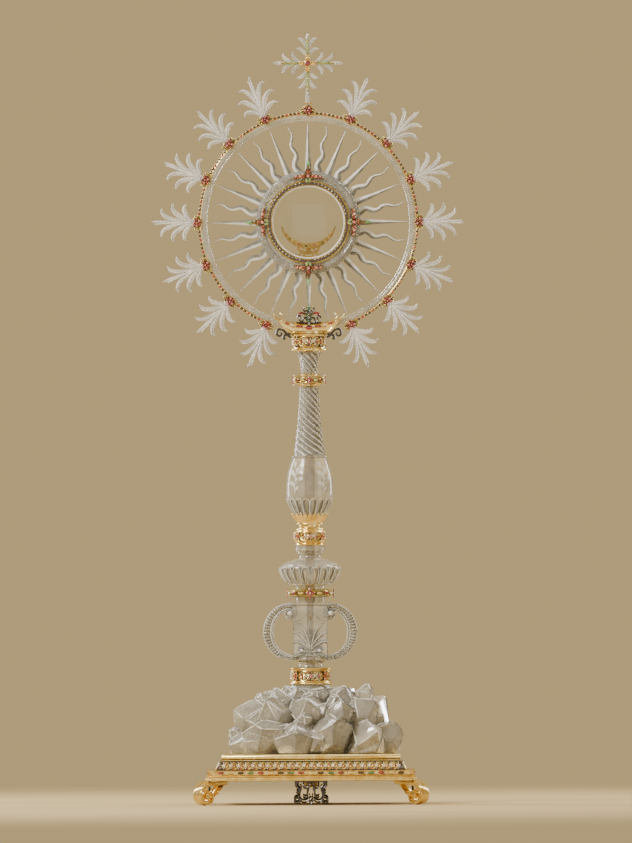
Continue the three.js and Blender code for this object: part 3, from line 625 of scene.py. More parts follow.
def pendants():
    """Pierced scrollwork: mirrored straps with hooked ends, and a drop in the middle."""
    straps = [
        (spiral((-18.6, 25.4), 3.2, 1.3, 200, 0.75), 0.9),
        (through([(-19.5, 22.4), (-17.4, 20), (-15.6, 17), (-15.4, 13), (-17, 9.6), (-19.8, 8.4)]), 0.95),
        (spiral((-19.2, 5.6), 3.9, 3.2, 20, 0.97), 1.0),
        (through([(-15.4, 15.6), (-18, 15.2), (-20.8, 15.4)]), 1.5 * blade(17, 0.7, 0.3)),
        (through([(-15.6, 8), (-13, 4.6), (-9.4, 3.6), (-6.2, 4.4), (-3.4, 6.6)]), 0.8),
        (through([(-4.2, 25.6), (-3.2, 22), (-4, 18), (-5, 14.6), (-5, 11.4), (-7.2, 9), (-9.8, 9.2),
                  (-10.6, 11)]), 0.95),
        (through([(-4, 22), (-6.6, 20.4), (-9.4, 21), (-10.6, 23.2), (-9.2, 24.4)]), 0.85),
        (spiral((-2.6, 25.8), 1.9, 1.7, 0, 0.97, 20), 0.7),
        (through([(0, 1.4), (-2, 3.8), (-1.6, 6.2), (0, 7.6)]), 0.8),
        (through([(-1, 8.4), (-2.4, 10.2), (-1.2, 11.2)]), 0.6),
        (through([(-15.4, 14), (-13.4, 20), (-15.4, 22.6)]), 0.7),
    ]
    sides = {"front": 0, "right": 90, "rear": 180, "left": 270}
    stroke, depth, narrowed = 1.4, 1.35, 0.88
    for side, turn in sides.items():
        solids = []
        for path, half in straps:
            bars = mirrored(strip(path, np.asarray(half) * stroke, depth, ROUND)) * [narrowed, 1, 1]
            solids.append(close(turned_about(facing(bars, y=-122), [turn])))
        rail = facing(strip([(-20, 28), (20, 28)], 0.6, 1.4, BAND), y=-122)
        solids.append(close(turned_about(rail, [turn])))
        piece(f"pendant_{side}_scrollwork", solids, black_enamel, "black_enamel", [f"pendant_{side}"])


# ---- Crystal mound ----


def quartz_block(rng, foot, bearing, lean, radius, length, floor, ceiling, reach):
    """The corners of one blunt crystal: every point where three of its planes meet and that lies
    behind all the others. Six flanks stand round its axis, and five faces slope to its blunt top."""
    lean, bearing = math.radians(lean), math.radians(bearing)
    axis = np.array([math.sin(lean) * math.cos(bearing), math.sin(lean) * math.sin(bearing),
                     math.cos(lean)])
    side = np.cross(axis, [0.0, 0.0, 1.0])
    side /= np.linalg.norm(side)
    other = np.cross(axis, side)
    normals, offsets = [-axis], [8.0]
    start = rng.uniform(0, TAU)
    for count, tilt, distance in ((6, 0.0, radius), (4, 0.7, length)):
        for k in range(count):
            turn = start + TAU * (k + rng.uniform(-0.22, 0.22)) / count
            out = side * math.cos(turn) + other * math.sin(turn)
            pitch = tilt * rng.uniform(0.6, 1.5)
            normals.append(out * math.cos(pitch) + axis * math.sin(pitch))
            reached = radius * rng.uniform(0.62, 1.0)
            offsets.append(reached if tilt == 0 else
                           reached * 0.5 * math.cos(pitch) + distance * 0.88 * math.sin(pitch))
        start += 0.5
    normals, offsets = np.array(normals), np.array(offsets)
    offsets = offsets + normals @ foot
    limits = np.vstack([np.eye(3), -np.eye(3)])
    normals = np.vstack([normals, limits])
    offsets = np.concatenate([offsets, [reach[0], reach[1], ceiling, reach[2], reach[1], -floor]])
    triples = np.array(list(itertools.combinations(range(len(normals)), 3)))
    systems = normals[triples]
    firm = np.abs(np.linalg.det(systems)) > 1e-3
    corners = np.linalg.solve(systems[firm], offsets[triples[firm]][..., None])[..., 0]
    return corners[np.all(corners @ normals.T <= offsets + 1e-6, axis=1)]


def mound():
    """Blunt crystals that lean out from the middle, crowded together and up to the collar."""
    (low_x, low_y, floor), (high_x, high_y, ceiling) = node_box("crystal_mound")
    rng = np.random.default_rng(29)
    blocks = [
        (-48, -46, 66, -112, 62, 28, 52), (-12, -50, 64, -100, 66, 27, 50), (22, -46, 66, -84, 56, 30, 54),
        (62, -46, 62, -70, 62, 27, 50), (76, -22, 60, -20, 38, 22, 46), (66, 24, 62, 15, 60, 27, 46),
        (44, 50, 64, 62, 60, 28, 50), (2, 50, 64, 95, 64, 28, 50), (-44, 48, 64, 118, 60, 29, 50),
        (-60, 22, 62, 168, 64, 27, 38), (-62, -20, 62, -168, 70, 25, 34), (-42, -20, 88, -172, 62, 23, 56),
        (-30, -34, 88, -120, 50, 23, 50), (-2, -34, 92, -95, 48, 27, 46), (28, -34, 86, -75, 48, 23, 50),
        (46, -26, 86, -42, 44, 22, 54), (50, 4, 86, 2, 44, 25, 54), (34, 34, 88, 50, 50, 25, 50),
        (-6, 34, 90, 98, 50, 25, 48), (-38, 28, 88, 142, 52, 25, 52), (-24, -16, 100, -140, 36, 20, 42),
        (2, -18, 101, -88, 34, 22, 42), (24, -14, 102, -35, 36, 20, 43), (60, -6, 100, -10, 10, 12, 46),
        (18, 18, 102, 55, 34, 20, 43), (-16, 18, 101, 130, 34, 20, 42), (-44, -4, 101, -178, 30, 14, 36),
        (0, 22, 102, 90, 32, 22, 42), (-30, 6, 98, 170, 32, 20, 42), (30, 8, 98, 20, 32, 20, 43),
        (62, -62, 58, -45, 54, 22, 34), (60, 62, 58, 45, 54, 24, 34), (-58, 60, 58, 135, 54, 23, 32),
        (-58, -60, 58, -135, 54, 22, 32),
    ]
    middle = np.array([2.0, 0.0, 60.0])
    golden_turn = 137.5
    infill = 46
    for k in range(infill):
        share = (k + 0.5) / infill
        lean = 84 - 62 * share**0.85
        bearing = (k * golden_turn) % 360
        way = np.array([math.sin(math.radians(lean)) * math.cos(math.radians(bearing)),
                        math.sin(math.radians(lean)) * math.sin(math.radians(bearing)),
                        math.cos(math.radians(lean))])
        reach = 1 / np.linalg.norm(way / [106, 94, 86])
        foot = middle + way * reach * 0.58
        blocks.append((*foot, bearing, lean, 11 + 5 * ((k * 7) % 5) / 4, reach * 0.42))
    for k in range(9):
        bearing = k * 40 + 12
        blocks.append((15 * math.cos(math.radians(bearing)), 15 * math.sin(math.radians(bearing)), 112,
                       bearing, 34, 12, 32))
    joined = bmesh.new()
    lit, shaded = [], []
    for x, y, z, bearing, lean, radius, length in blocks:
        corners = quartz_block(rng, np.array([x, y, z], float), bearing, lean, radius, length,
                               floor + 0.05, ceiling, (high_x, high_y, -low_x))
        own = bmesh.new()
        for corner in np.unique(np.round(corners, 3), axis=0):
            own.verts.new(corner)
        bmesh.ops.convex_hull(own, input=own.verts)
        bmesh.ops.dissolve_limit(own, angle_limit=0.02, verts=own.verts, edges=own.edges)
        # Edges that face the key lamp get white rods, a painted highlight; the other sharp edges get grey
        # rods, painted shade.
        for edge in own.edges:
            if edge.calc_face_angle(0) > 0.3 and min(v.co.z for v in edge.verts) > floor + 1:
                out = edge.link_faces[0].normal + edge.link_faces[1].normal
                facing_light = -0.55 * out.x - 0.3 * out.y + 0.8 * out.z
                (lit if facing_light > 0.7 else shaded).append([v.co[:] for v in edge.verts])
        bmesh.ops.bevel(own, geom=own.edges, offset=1.7, segments=2, affect="EDGES", profile=0.5,
                        clamp_overlap=True)
        part = bpy.data.meshes.new("block")
        own.to_mesh(part)
        own.free()
        joined.from_mesh(part)
        bpy.data.meshes.remove(part)
    bmesh.ops.scale(joined, vec=(MM, MM, MM), verts=joined.verts)
    bmesh.ops.recalc_face_normals(joined, faces=joined.faces)
    mesh = bpy.data.meshes.new("crystal_mound_blocks")
    joined.to_mesh(mesh)
    joined.free()
    finish_piece("crystal_mound_blocks", mesh, quartz, ["crystal_mound"], "stand", 50)
    piece("crystal_mound_painted_highlight_edges", [close(edge_rods(np.array(lit), 1.05))], engraved_and_highlight_white, "rock_crystal")
    piece("crystal_mound_painted_shade_edges", [close(edge_rods(np.array(shaded), 0.6))], painted_shade_grey, "rock_crystal")
    core = [(74, floor), (66, 78), (46, 100), (30, 120), (23, ceiling)]
    piece("crystal_mound_core", [close(turned(core, 14))], quartz, "rock_crystal", crease=12)


def edge_rods(ends, half):
    """Slim six-sided rods along edges, drawn just inside their corners and pointed at both ends."""
    start, stop = ends[:, :1], ends[:, 1:]
    along = stop - start
    along /= np.linalg.norm(along, axis=2, keepdims=True)
    side = np.cross(along, np.where(np.abs(along[..., 2:]) > 0.8, [1.0, 0, 0], [0, 0, 1.0]))
    side /= np.linalg.norm(side, axis=2, keepdims=True)
    other = np.cross(along, side)
    circle = around(6) * half
    ring = side[:, None] * circle[None, None, :, :1] + other[:, None] * circle[None, None, :, 1:]
    share = np.array([0.03, 0.25, 0.6, 0.97])[None, :, None, None]
    girth = np.array([0.1, 1, 0.7, 0.1])[None, :, None, None]
    return start[:, None] * (1 - share) + stop[:, None] * share + ring * girth


# ---- Stem ----


def petals(u, v, count, reach, long, wide, start=0.0):
    """Stones set like petals round a point."""
    turns = np.degrees(np.arange(count) * TAU / count) + start
    return [(u + reach * math.cos(math.radians(a)), v + reach * math.sin(math.radians(a)), a, long, wide)
            for a in turns]


def four_ways(rows):
    """Spots repeated in the four quarters about the middle, by reflection."""
    return [(sign_u * row[0], sign_v * row[1], sign_u * sign_v * row[2], *row[3:])
            for row in rows for sign_u in (-1, 1) for sign_v in (-1, 1)]


def flower_panel(mount, carry, wide, high, tall):
    """An enamelled panel: a red flower in the middle, a white one each side, and scrolls between."""
    side, far = wide * 0.4, wide * 0.78
    size = high * 0.25
    spots = {
        "spinels": petals(0, 0, 6, size, size * 0.72, size * 0.42, 30),
        "garnets": petals(far, 0, 5, size * 0.9, size * 0.62, size * 0.4)
        + petals(-far, 0, 5, size * 0.9, size * 0.62, size * 0.4, 36)
        + four_ways([(wide * 0.2, high * 0.84, 20, high * 0.2, high * 0.1)]),
        "white_petals": petals(side, high * 0.1, 5, size, size * 0.66, size * 0.42, 36)
        + petals(-side, high * 0.1, 5, size, size * 0.66, size * 0.42)
        + four_ways([(wide * 0.6, high * 0.62, 55, high * 0.2, high * 0.1)]),
        "emeralds": four_ways([(wide * 0.2, high * 0.5, 40, high * 0.24, high * 0.13),
                               (wide * 0.78, high * 0.72, -30, high * 0.2, high * 0.1)]),
        "topazes": four_ways([(wide * 0.42, high * 0.8, -15, high * 0.24, high * 0.12),
                              (wide * 0.98, high * 0.36, 75, high * 0.2, high * 0.12)]),
        "gold_beads": [(0, 0, high * 0.15)]
        + [(u, v, high * 0.12) for u, v in ((side, high * 0.1), (-side, high * 0.1), (far, 0), (-far, 0))],
        "white_beads": [(a * wide, b * high, high * 0.11) for a in (-0.6, -0.22, 0.22, 0.6)
                        for b in (-0.3, 0.3)],
    }
    jewels(mount, spots, carry, high=tall, foot=0.1, collet=0.18)
    hook = spiral((0, 0), high * 0.42, high * 0.12, 160, 1.1, 14)
    scrolls = []
    for sign_u, sign_v in itertools.product((-1, 1), (-1, 1)):
        for at in (0.24, 0.6, 0.92):
            path = hook * [sign_u, sign_v] + [sign_u * wide * at, sign_v * high * 0.52]
            scrolls.append(close(carry(strip(path, high * 0.075, high * 0.1, around(5), 0.45))))
    piece(f"{mount}_scrolls", scrolls, gilt, "gilt")


def oval_frame(mount, carry, wide, high, thick):
    """A gold frame round a panel: an oval strap that runs back into itself."""
    angle = np.linspace(0, TAU, 49)[:-1]
    outline = np.stack([np.cos(angle) * wide, np.sin(angle) * high], -1)
    outline = np.sign(outline) * np.abs(outline / [wide, high]) ** 0.75 * [wide, high]
    beside = np.roll(outline, -1, 0) - np.roll(outline, 1, 0)
    side = np.stack([beside[:, 1], -beside[:, 0]], -1)
    side /= np.linalg.norm(side, axis=1, keepdims=True)
    flat = outline[:, None] + side[:, None] * ROUND[None, :, :1] * thick
    out = np.broadcast_to(ROUND[None, :, 1:] * thick + thick * 0.6, (*flat.shape[:2], 1))
    piece(mount, [close(carry(np.concatenate([flat, out], -1)), ring=True)], gilt, "gilt")


def dark_ground(name, radius, low, high):
    """The enamelled ground of a band, seen between its scrolls and stones."""
    hoop = [(radius - 1, low), (radius, low), (radius, high), (radius - 1, high)]
    piece(name, [close(turned(hoop, 72), ring=True)], brown_enamel, "black_enamel")


def collar():
    """The jewelled collar that draws the mound together."""
    radius = 23.3
    level = sum(heights("mound_collar")) / 2
    profile = through([(24.4, 143.3), (25.4, 144), (25.4, 145.2), (24.2, 146), (23.8, 146.6)], 3)
    top = through([(23.8, 160.4), (24.2, 161), (25.4, 161.8), (25.4, 162.8), (24.4, 163.5)], 3)
    profile = np.vstack([profile, [(radius, 147.4), (radius, 159.8)], top])
    piece("mound_collar_band", [close(turned(profile, 72))], gilt, "gilt", ["mound_collar"])
    dark_ground("mound_collar_ground", radius + 0.15, 147.8, 159.4)
    carry = partial(wrapped, radius=radius, z=level, turns=QUARTERS)
    flower_panel("mound_collar_panel", carry, 13.2, 5.6, 1.1)
    oval_frame("mound_collar_frames", carry, 14.6, 6.2, 0.5)
    carry = partial(wrapped, radius=radius, z=level, turns=QUARTERS + 45)
    jewels("mound_collar_studs", {
        "garnets": [(0, 0, 0, 1.7, 1.7)],
        "spinels": [(0, 3.4, 90, 1.3, 0.8), (0, -3.4, 90, 1.3, 0.8)],
        "gold_beads": [(0, 5.4, 0.8), (0, -5.4, 0.8)],
    }, carry, high=2.6, foot=0.6)


def scroll_knop():
    """The block between the scrolls, with its neck, top plate and carved palmettes."""
    neck = through([(16, 164), (15.2, 166), (15, 168), (16.4, 170.2), (19, 171.6), (20.4, 173),
                    (20.4, 175), (19, 176.4)], 4)
    body = [(18, 176), (20.6, 176.2), (21.4, 177.4), (21.4, 180), (20.8, 181.4), (20.8, 226), (21.4, 228),
            (21.4, 236.5), (20.8, 237.4), (18, 237.6)]
    top = [(18, 237.2), (24.2, 237.2), (24.8, 238), (25.6, 238.6), (26.5, 239.6), (26.5, 241.2),
           (25.8, 242), (18, 242)]
    piece("scroll_knop_neck", [close(turned(neck, 64))], crystal, "rock_crystal")
    piece("scroll_knop_body", [close(mitred(body, 1.2, 3.4))], crystal, "rock_crystal",
          ["scroll_knop_block"], crease=25)
    piece("scroll_knop_top_plate", [close(mitred(top, 1.5, 7.0))], crystal, "rock_crystal", crease=25)

    lobes = []
    for heading, length, bend, root, half in ((0, 35, 0, 190, 2.5), (13, 33, 12, 189, 2.5),
                                               (30, 29, 20, 188, 2.4), (49, 23, 26, 186, 2.2),
                                               (76, 13, 20, 182, 1.8)):
        path = winding((0.8 if heading else 0, root), length, heading, bend, 46 if heading else 0)
        shape = strip(path, half * blade(len(path), 0.75, 0.12), 1.7, LEAF)
        lobes.append(mirrored(shape) if heading else shape)
    arch = through([(0, 229.4), (5, 227.6), (10, 223.4), (15, 220.4), (20.4, 220)])
    lobes += [strip([(0, 178), (0, 186), (0, 206)], [2.6, 1.8, 0.7], 2.0, RIDGE),
              mirrored(strip(arch, 0.5, 0.9)), mirrored(strip([(20.3, 196), (20.3, 219)], 0.5, 0.9))]
    front_and_back = (0, 180)
    piece("scroll_knop_palmettes",
          [close(turned_about(facing(lobe, y=-17.4), front_and_back)) for lobe in lobes],
          crystal, "rock_crystal", crease=25)
    veins = [strip(winding((0.8, root), length * 0.92, heading, bend, 40), 0.3, 0.4)
             for heading, length, bend, root in ((12, 33, 13, 189), (29, 30, 20, 188),
                                                 (47, 25, 26, 186), (72, 17, 20, 182))]
    piece("scroll_knop_veins",
          [close(turned_about(facing(mirrored(line), y=-19.1), front_and_back)) for line in veins],
          engraved_and_highlight_white, "rock_crystal")
    for side, sign in (("left", -1), ("right", 1)):
        ribbed_scroll(side, sign)


def ribbed_scroll(side, sign):
    """A C-scroll: a ribbed band on an ellipse whose ends coil up round balls, over the block's
    upper corners and in front of its foot. The band is as deep as the block where it coils."""
    t = np.radians(np.linspace(-82, 80, 170))
    bow = np.stack([24 + 26.5 * np.cos(t), 206.4 + 30.3 * np.sin(t)], -1)
    upper = spiral((24.6, 228.8), 7.6, 2.6, 12, -1.25, 50)
    lower = spiral((10.8, 184.4), 6.9, 2.2, 176, 1.2, 44)
    joint = through([lower[0], (17, 175.4), (23, 174.9), bow[0]], 8)[1:-1]
    path = np.vstack([lower[::-1], joint, bow, upper])
    parts = [len(lower), len(joint), len(bow), len(upper)]
    starts = np.cumsum([0, *parts])
    place = np.arange(len(path))
    across = np.interp(place, [0, starts[1], starts[2], starts[2] + 85, starts[3], len(path)],
                       [0.9, 1.7, 3.4, 6.5, 4.4, 1.0])
    deep = np.interp(place, [0, starts[1], starts[2] + 30, starts[3] - 34, starts[3], len(path)],
                     [19.2, 19.2, 9, 9, 15, 18.6])
    s = np.linspace(-1, 1, 15)
    inner = s < -0.42
    roll = np.where(inner, 0.82 + 0.18 * np.sin(np.pi * (s + 1) / 0.58), 0.0)
    cushion = np.where(~inner, 0.62 + 0.24 * np.sin(np.pi * (s + 0.42) / 1.42), 0.0)
    carved = np.clip(np.minimum(place - starts[1], starts[3] + 8 - place) / 20, 0, 1)
    ribs = carved * 0.2 * np.abs(np.sin(place * TAU / 14)) ** 0.6
    height = (roll + cushion)[None] + ribs[:, None] * (cushion > 0.65)[None]
    height[:, [0, -1]] = 0.4
    out_and_back = np.broadcast_to(np.concatenate([s, s[::-1]]), (len(path), 2 * len(s)))
    section = np.stack([out_and_back, np.concatenate([height, -height[:, ::-1]], 1)], -1)
    scroll = strip(path, across, deep, section)
    balls = np.concatenate([
        facing(beads([(24.2, 229, 3.1, 0)]), y=-16.4), facing(beads([(10.8, 184.4, 2.4, 0)]), y=-17.6),
        facing(beads([(24.2, 229, 3.1, 0)]), y=16.4), facing(beads([(10.8, 184.4, 2.4, 0)]), y=17.6),
    ])
    flip = np.array([sign, 1, 1])
    piece(f"scroll_{side}_ribbed", [close(facing(scroll) * flip)], crystal, "rock_crystal",
          [f"scroll_{side}"], crease=50)
    piece(f"scroll_{side}_balls", [close(balls * flip)], engraved_and_highlight_white, "rock_crystal")
    # White rods along the band's edges are painted highlights; grey rods across it, in the troughs between
    # its ribs, are painted shade.
    along = np.gradient(path, axis=0)
    along /= np.linalg.norm(along, axis=1, keepdims=True)
    beside = np.stack([along[:, 1], -along[:, 0]], -1) * across[:, None]
    rims = [strip(path + beside * share, 0.42, 0.5, ROUND, deep * level)
            for share, level in ((0.9, 0.66), (-0.44, 0.86), (-0.96, 0.84))]
    shares, levels = np.array([-0.34, -0.1, 0.3, 0.8]), np.array([0.68, 0.84, 0.9, 0.76])
    ribs = [strip(path[k] + beside[k] * shares[:, None], 0.5, 0.5, ROUND, deep[k] * levels)
            for k in range(starts[2] + 4, starts[3] - 4, 7)]
    for name, parts, finish_of in (("rims", rims, engraved_and_highlight_white), ("ribs", ribs, painted_shade_grey)):
        both_faces = np.stack([facing(np.array(parts)) * [sign, face, 1] for face in (1, -1)])
        piece(f"scroll_{side}_{name}", [close(both_faces)], finish_of, "rock_crystal")


def jewelled_rings():
    """The two gem-set rings of the stem, with their cross flowers and long pale stones."""
    for mount, node, radius, size in (("jewelled_ring", "jewelled_ring", 27.6, 1.0),
                                      ("stem_bracelet", "stem_bracelet", 19.0, 0.86)):
        low, top = heights(node)
        level = (low + top) / 2
        half = (top - low) / 2
        outline = [(-1, radius - 3), (-0.8, radius - 1.6), (-0.62, radius - 0.6), (-0.5, radius - 0.1),
                   (-0.4, radius - 0.7), (0.4, radius - 0.7), (0.5, radius - 0.1), (0.62, radius - 0.6),
                   (0.8, radius - 1.6), (1, radius - 3)]
        if mount == "stem_bracelet":
            outline = [(-1, 11.4), (-0.92, 12.4), (-0.7, 13.6), (-0.5, 16.6), (-0.44, 18.4), (0.44, 18.4),
                       (0.5, 16.6), (0.7, 13.6), (0.92, 12.4), (1, 11.4)]
        profile = [(r, level + half * share) for share, r in outline]
        piece(f"{mount}_band", [close(turned(profile, 72))], gilt, "gilt", [node])
        dark_ground(f"{mount}_ground", radius - 0.5, level - half * 0.39, level + half * 0.39)
        carry = partial(wrapped, radius=radius - 0.5, z=level, turns=QUARTERS)
        quarter = TAU * radius / 4
        jewels(mount, {
            "garnets": petals(0, 0, 4, 3.1 * size, 2.2 * size, 1.8 * size)
            + [(s * quarter * 0.47, 0, 90, 1.7 * size, 1.2 * size) for s in (-1, 1)],
            "topazes": [(s * quarter * 0.27, 0, 0, 3.4 * size, 1.5 * size) for s in (-1, 1)],
            "dark_garnets": [(s * quarter * a, 0, 0, 1.0 * size, 1.3 * size) for s in (-1, 1)
                             for a in (0.145, 0.395)],
            "white_beads": [(0, 0, 1.25 * size)],
            "emeralds": [(s * quarter * 0.27, v * 2.4 * size, 0, 3.2 * size, 0.6 * size)
                         for s in (-1, 1) for v in (-1, 1)],
        }, carry, high=1.5)
        if mount == "stem_bracelet":
            eighths = np.arange(8) * 45 + 22.5
            oval_frame("stem_bracelet_ovals", partial(carry, turns=eighths), 4.6, 2.9, 0.5)
            jewels("stem_bracelet_tips", {
                "pearls": [(s * quarter * 0.25, v * 5.4, 0.9) for s in (-1, 1) for v in (-1, 1)]
                + [(0, v * 5.9, 0.8) for v in (-1, 1)],
            }, carry)


def gadrooned_knop():
    """The flattened crystal knop with rounded lobes under it."""
    lobes = 20
    foot = [(16, 242.5), (17.7, 242.5), (17.7, 261)]
    bowl = through([(18.2, 261.2), (22.4, 261.6), (26.4, 263.4), (30.4, 267.8), (34.4, 273.2),
                    (36.6, 278.4), (37, 282), (36.2, 284.6), (34.6, 286.4)], 9)
    lid = through([(34.6, 286.6), (33.2, 288), (28.4, 290.6), (22, 292.8), (17.4, 294.2),
                   (14.2, 295.2), (13.2, 297), (13.4, 299), (14.6, 300), (15.4, 300.6),
                   (15.6, 302.2)], 5)
    lip = [(15.6, 302.8), (17.9, 303.4), (18.3, 304), (18.3, 306.2), (17.5, 306.9), (17.5, 308),
           (18.1, 308.6), (18.1, 309.7), (16, 309.8)]
    profile = np.vstack([foot, bowl, lid, lip])
    columns = 288
    cut = fluted(profile, columns, lobes, 3.0, 263.6, 283.8, 2.6)
    piece("gadrooned_knop_turned", [close(turned(profile, columns, cut))], crystal, "rock_crystal",
          ["gadrooned_knop"], crease=50)
    # White strips on the ridges between the lobes are painted highlights; grey strips down the lobes'
    # hollows are painted shade.
    arches = []
    for side in (-1, 1):
        path = through([(side * 3.6, -17), (side * 4.4, -10), (side * 4.5, -3.6), (side * 3.2, 0),
                        (0, 1.3)], 6)
        arches.append(strip(path, 0.32, 0.4))
    knop = np.vstack([bowl, lid])
    middles = np.arange(lobes) * 360 / lobes
    between = [close(wrapped(arch, knop, 283.2, middles + 180 / lobes)) for arch in arches]
    piece("gadrooned_knop_ridge_highlights", between, engraved_and_highlight_white, "rock_crystal")
    hollow = strip([(0, -17.5), (0, -13), (0, -8), (0, -3.4), (0, -0.6), (0, 0.4)],
                   [0.5, 1.3, 2.1, 2.5, 1.7, 0.4], 0.5, ROUND, [-0.6, -2.0, -2.5, -2.4, -1.6, -0.5])
    piece("gadrooned_knop_hollow_shade", [close(wrapped(hollow, knop, 283.2, middles))], painted_shade_grey,
          "rock_crystal")


def jewelled_knop():
    """The gilt knop with enamelled panels under the calyx."""
    low, top = heights("jewelled_knop")
    radius = 18.6
    foot = through([(17.6, low + 0.1), (18.3, low + 1), (17.4, low + 2), (16.8, low + 2.9)], 3)
    belly = [(17.8, low + 4), (19.2, low + 5.6), (radius, low + 6.3), (radius, low + 15.6),
             (19.2, low + 16.4), (17.8, low + 18)]
    lip = through([(16.8, top - 2), (17.2, top - 1.2), (16.4, top - 0.2)], 3)
    profile = np.vstack([foot, belly, lip])
    piece("jewelled_knop_band", [close(turned(profile, 72))], gilt, "gilt", ["jewelled_knop"])
    dark_ground("jewelled_knop_ground", radius + 0.3, low + 6.1, low + 15.8)
    level = low + 11
    carry = partial(wrapped, radius=radius, z=level, turns=QUARTERS)
    flower_panel("jewelled_knop_panel", carry, 10.6, 4.8, 1.0)
    oval_frame("jewelled_knop_frames", carry, 12.4, 5.3, 0.55)
    carry = partial(wrapped, radius=radius, z=level, turns=QUARTERS + 45)
    jewels("jewelled_knop_studs", {
        "garnets": [(0, 0, 0, 1.6, 1.6)],
        "spinels": [(0, 3.1, 90, 1.2, 0.8), (0, -3.1, 90, 1.2, 0.8)],
    }, carry, high=2.8, foot=0.6)


def calyx_and_vase():
    """The gilt cup of pointed leaves and the crystal vase that stands in it, engraved with sprays."""
    flare = through([(13.6, 335.2), (15.8, 335.5), (16.4, 336.2), (16.2, 337.2), (17, 339.2),
                     (19, 342.2), (20.8, 344.4)], 4)
    cup = np.vstack([[(13, 331.4), (13.4, 332), (13.2, 335)], flare])
    piece("calyx_cup_turned", [close(turned(cup, 64))], gilt, "gilt", ["calyx_cup"])
    leaf = strip([(0, 0), (0, 3), (0, 6), (0, 8.5), (0, 10.2)], [2.3, 2.6, 2.3, 1.4, 0.2], 0.55, RIDGE)
    outer = [(17, 339), (19, 342), (21.2, 345), (21.9, 350)]
    leaf_turns = np.arange(24) * 15.0
    piece("calyx_cup_leaves", [close(wrapped(leaf, outer, 339.6, leaf_turns))], gilt, "gilt")

    flutes = 18
    wall = through([(15.6, 341.2), (17.8, 345.4), (20.8, 350.6), (25.4, 359), (28, 367.4),
                    (28.7, 375), (28.5, 383), (26.8, 396), (24, 406.6), (21.5, 413.6),
                    (20.6, 415.2)], 9)
    rim = [(21.4, 415.6), (22.2, 416), (22.2, 416.9), (21.2, 417.5), (19, 417.6)]
    profile = np.vstack([wall, rim])
    columns = 264
    cut = fluted(profile, columns, flutes, 2.2, 342, 366.4, 3.0)
    piece("crystal_vase_turned", [close(turned(profile, columns, cut))], crystal, "rock_crystal",
          ["crystal_vase"], crease=50)
    # White arches over the ridges between the flutes are painted highlights; grey strips down the flutes
    # are painted shade.
    half_arches = [through([(side * 3.7, -18), (side * 4.2, -9), (side * 4.3, -4), (side * 3, -0.8),
                            (0, 0.6)], 6) for side in (-1, 1)]
    middles = np.arange(flutes) * 360 / flutes
    arches = [close(wrapped(strip(half, 0.42, 0.35), profile, 366, middles + 180 / flutes))
              for half in half_arches]
    piece("crystal_vase_arch_highlights", arches, engraved_and_highlight_white, "rock_crystal")
    hollow = strip([(0, -21), (0, -15), (0, -9), (0, -4), (0, -1.4), (0, -0.6)],
                   [0.6, 1.3, 2.0, 2.4, 1.6, 0.4], 0.45, ROUND, [-1.2, -1.8, -1.9, -1.8, -1.2, -0.4])
    piece("crystal_vase_hollow_shade", [close(wrapped(hollow, profile, 366, middles))], painted_shade_grey,
          "rock_crystal")

    spray = [strip(winding((0, -18), 36, -6, 24, 10), 0.4, 0.3)]
    for v, reach, heading in ((-12, 9, -60), (-7, 10, 62), (-1, 10, -50), (5, 9, 60), (10, 8, -40)):
        path = winding((0.4, v), reach, heading, heading * -0.5)
        spray.append(strip(path, 0.35, 0.3))
        for turn in np.arange(6) * 60.0:
            petal = winding(path[-1], 2.8, turn, 20)
            spray.append(strip(petal, 0.95 * blade(len(petal), 0.8, 0.15), 0.35, LEAF))
        leaf = winding((0.2, v - 2), 6, -heading, heading * 0.6)
        spray.append(strip(leaf, 1.3 * blade(len(leaf), 0.8, 0.2), 0.35, LEAF))
    spray_turns = (-38, 38, 142, 218)
    piece("crystal_vase_flower_sprays",
          [close(wrapped(part, profile, 391, spray_turns)) for part in spray],
          engraved_and_highlight_white, "rock_crystal")


def twisted_shafts():
    """The two twisted lengths of the shaft: rounded cords divided by narrow winding grooves."""
    lower = through([(19.4, 418.1), (18.6, 421), (16.8, 434), (14.8, 450), (13.4, 466), (12.2, 484),
                     (11.4, 500.4)], 16)
    lower = np.vstack([[(18.6, 418)], lower, [(10.4, 500.5)]])
    upper = through([(9.4, 516.6), (9.8, 521), (10.8, 529), (12.6, 537), (14.2, 541.4),
                     (14.4, 542.9)], 12)
    upper = np.vstack([[(8.6, 516.5)], upper, [(13.4, 543)]])
    wind = 0.085  # radians a mm
    cords = 10
    for name, profile, depth in (("twisted_column", lower, 2.1), ("column_neck", upper, 1.6)):
        foot, top = profile[1, 1] + 1.4, profile[-2, 1] - 1.2
        cut = fluted(profile, 240, cords, depth, foot, top, 0.0, wind, 2.4)
        piece(f"{name}_carved", [close(turned(profile, 240, cut))], crystal, "rock_crystal", [name],
              crease=50)
        v = np.linspace(0.8, top - foot - 0.8, 120)
        radius = np.interp(foot + v, profile[:, 1], profile[:, 0])
        # Down each groove runs a grey strip, painted shade, and beside one lip a fine white line, a
        # painted highlight.
        for line, shift, half, lift, painted_light_finish in (("grooves", 0.0, 0.07, -0.78, painted_shade_grey),
                                                ("groove_painted_highlights", 0.2, 0.028, -0.06, engraved_and_highlight_white)):
            path = np.stack([(shift - wind * v) * radius, v], -1)
            bar = strip(path, half * radius, 0.35, around(6), lift * depth)
            turns = np.arange(cords) * 360 / cords
            piece(f"{name}_{line}", [close(wrapped(bar, profile, foot, turns))], painted_light_finish, "rock_crystal")


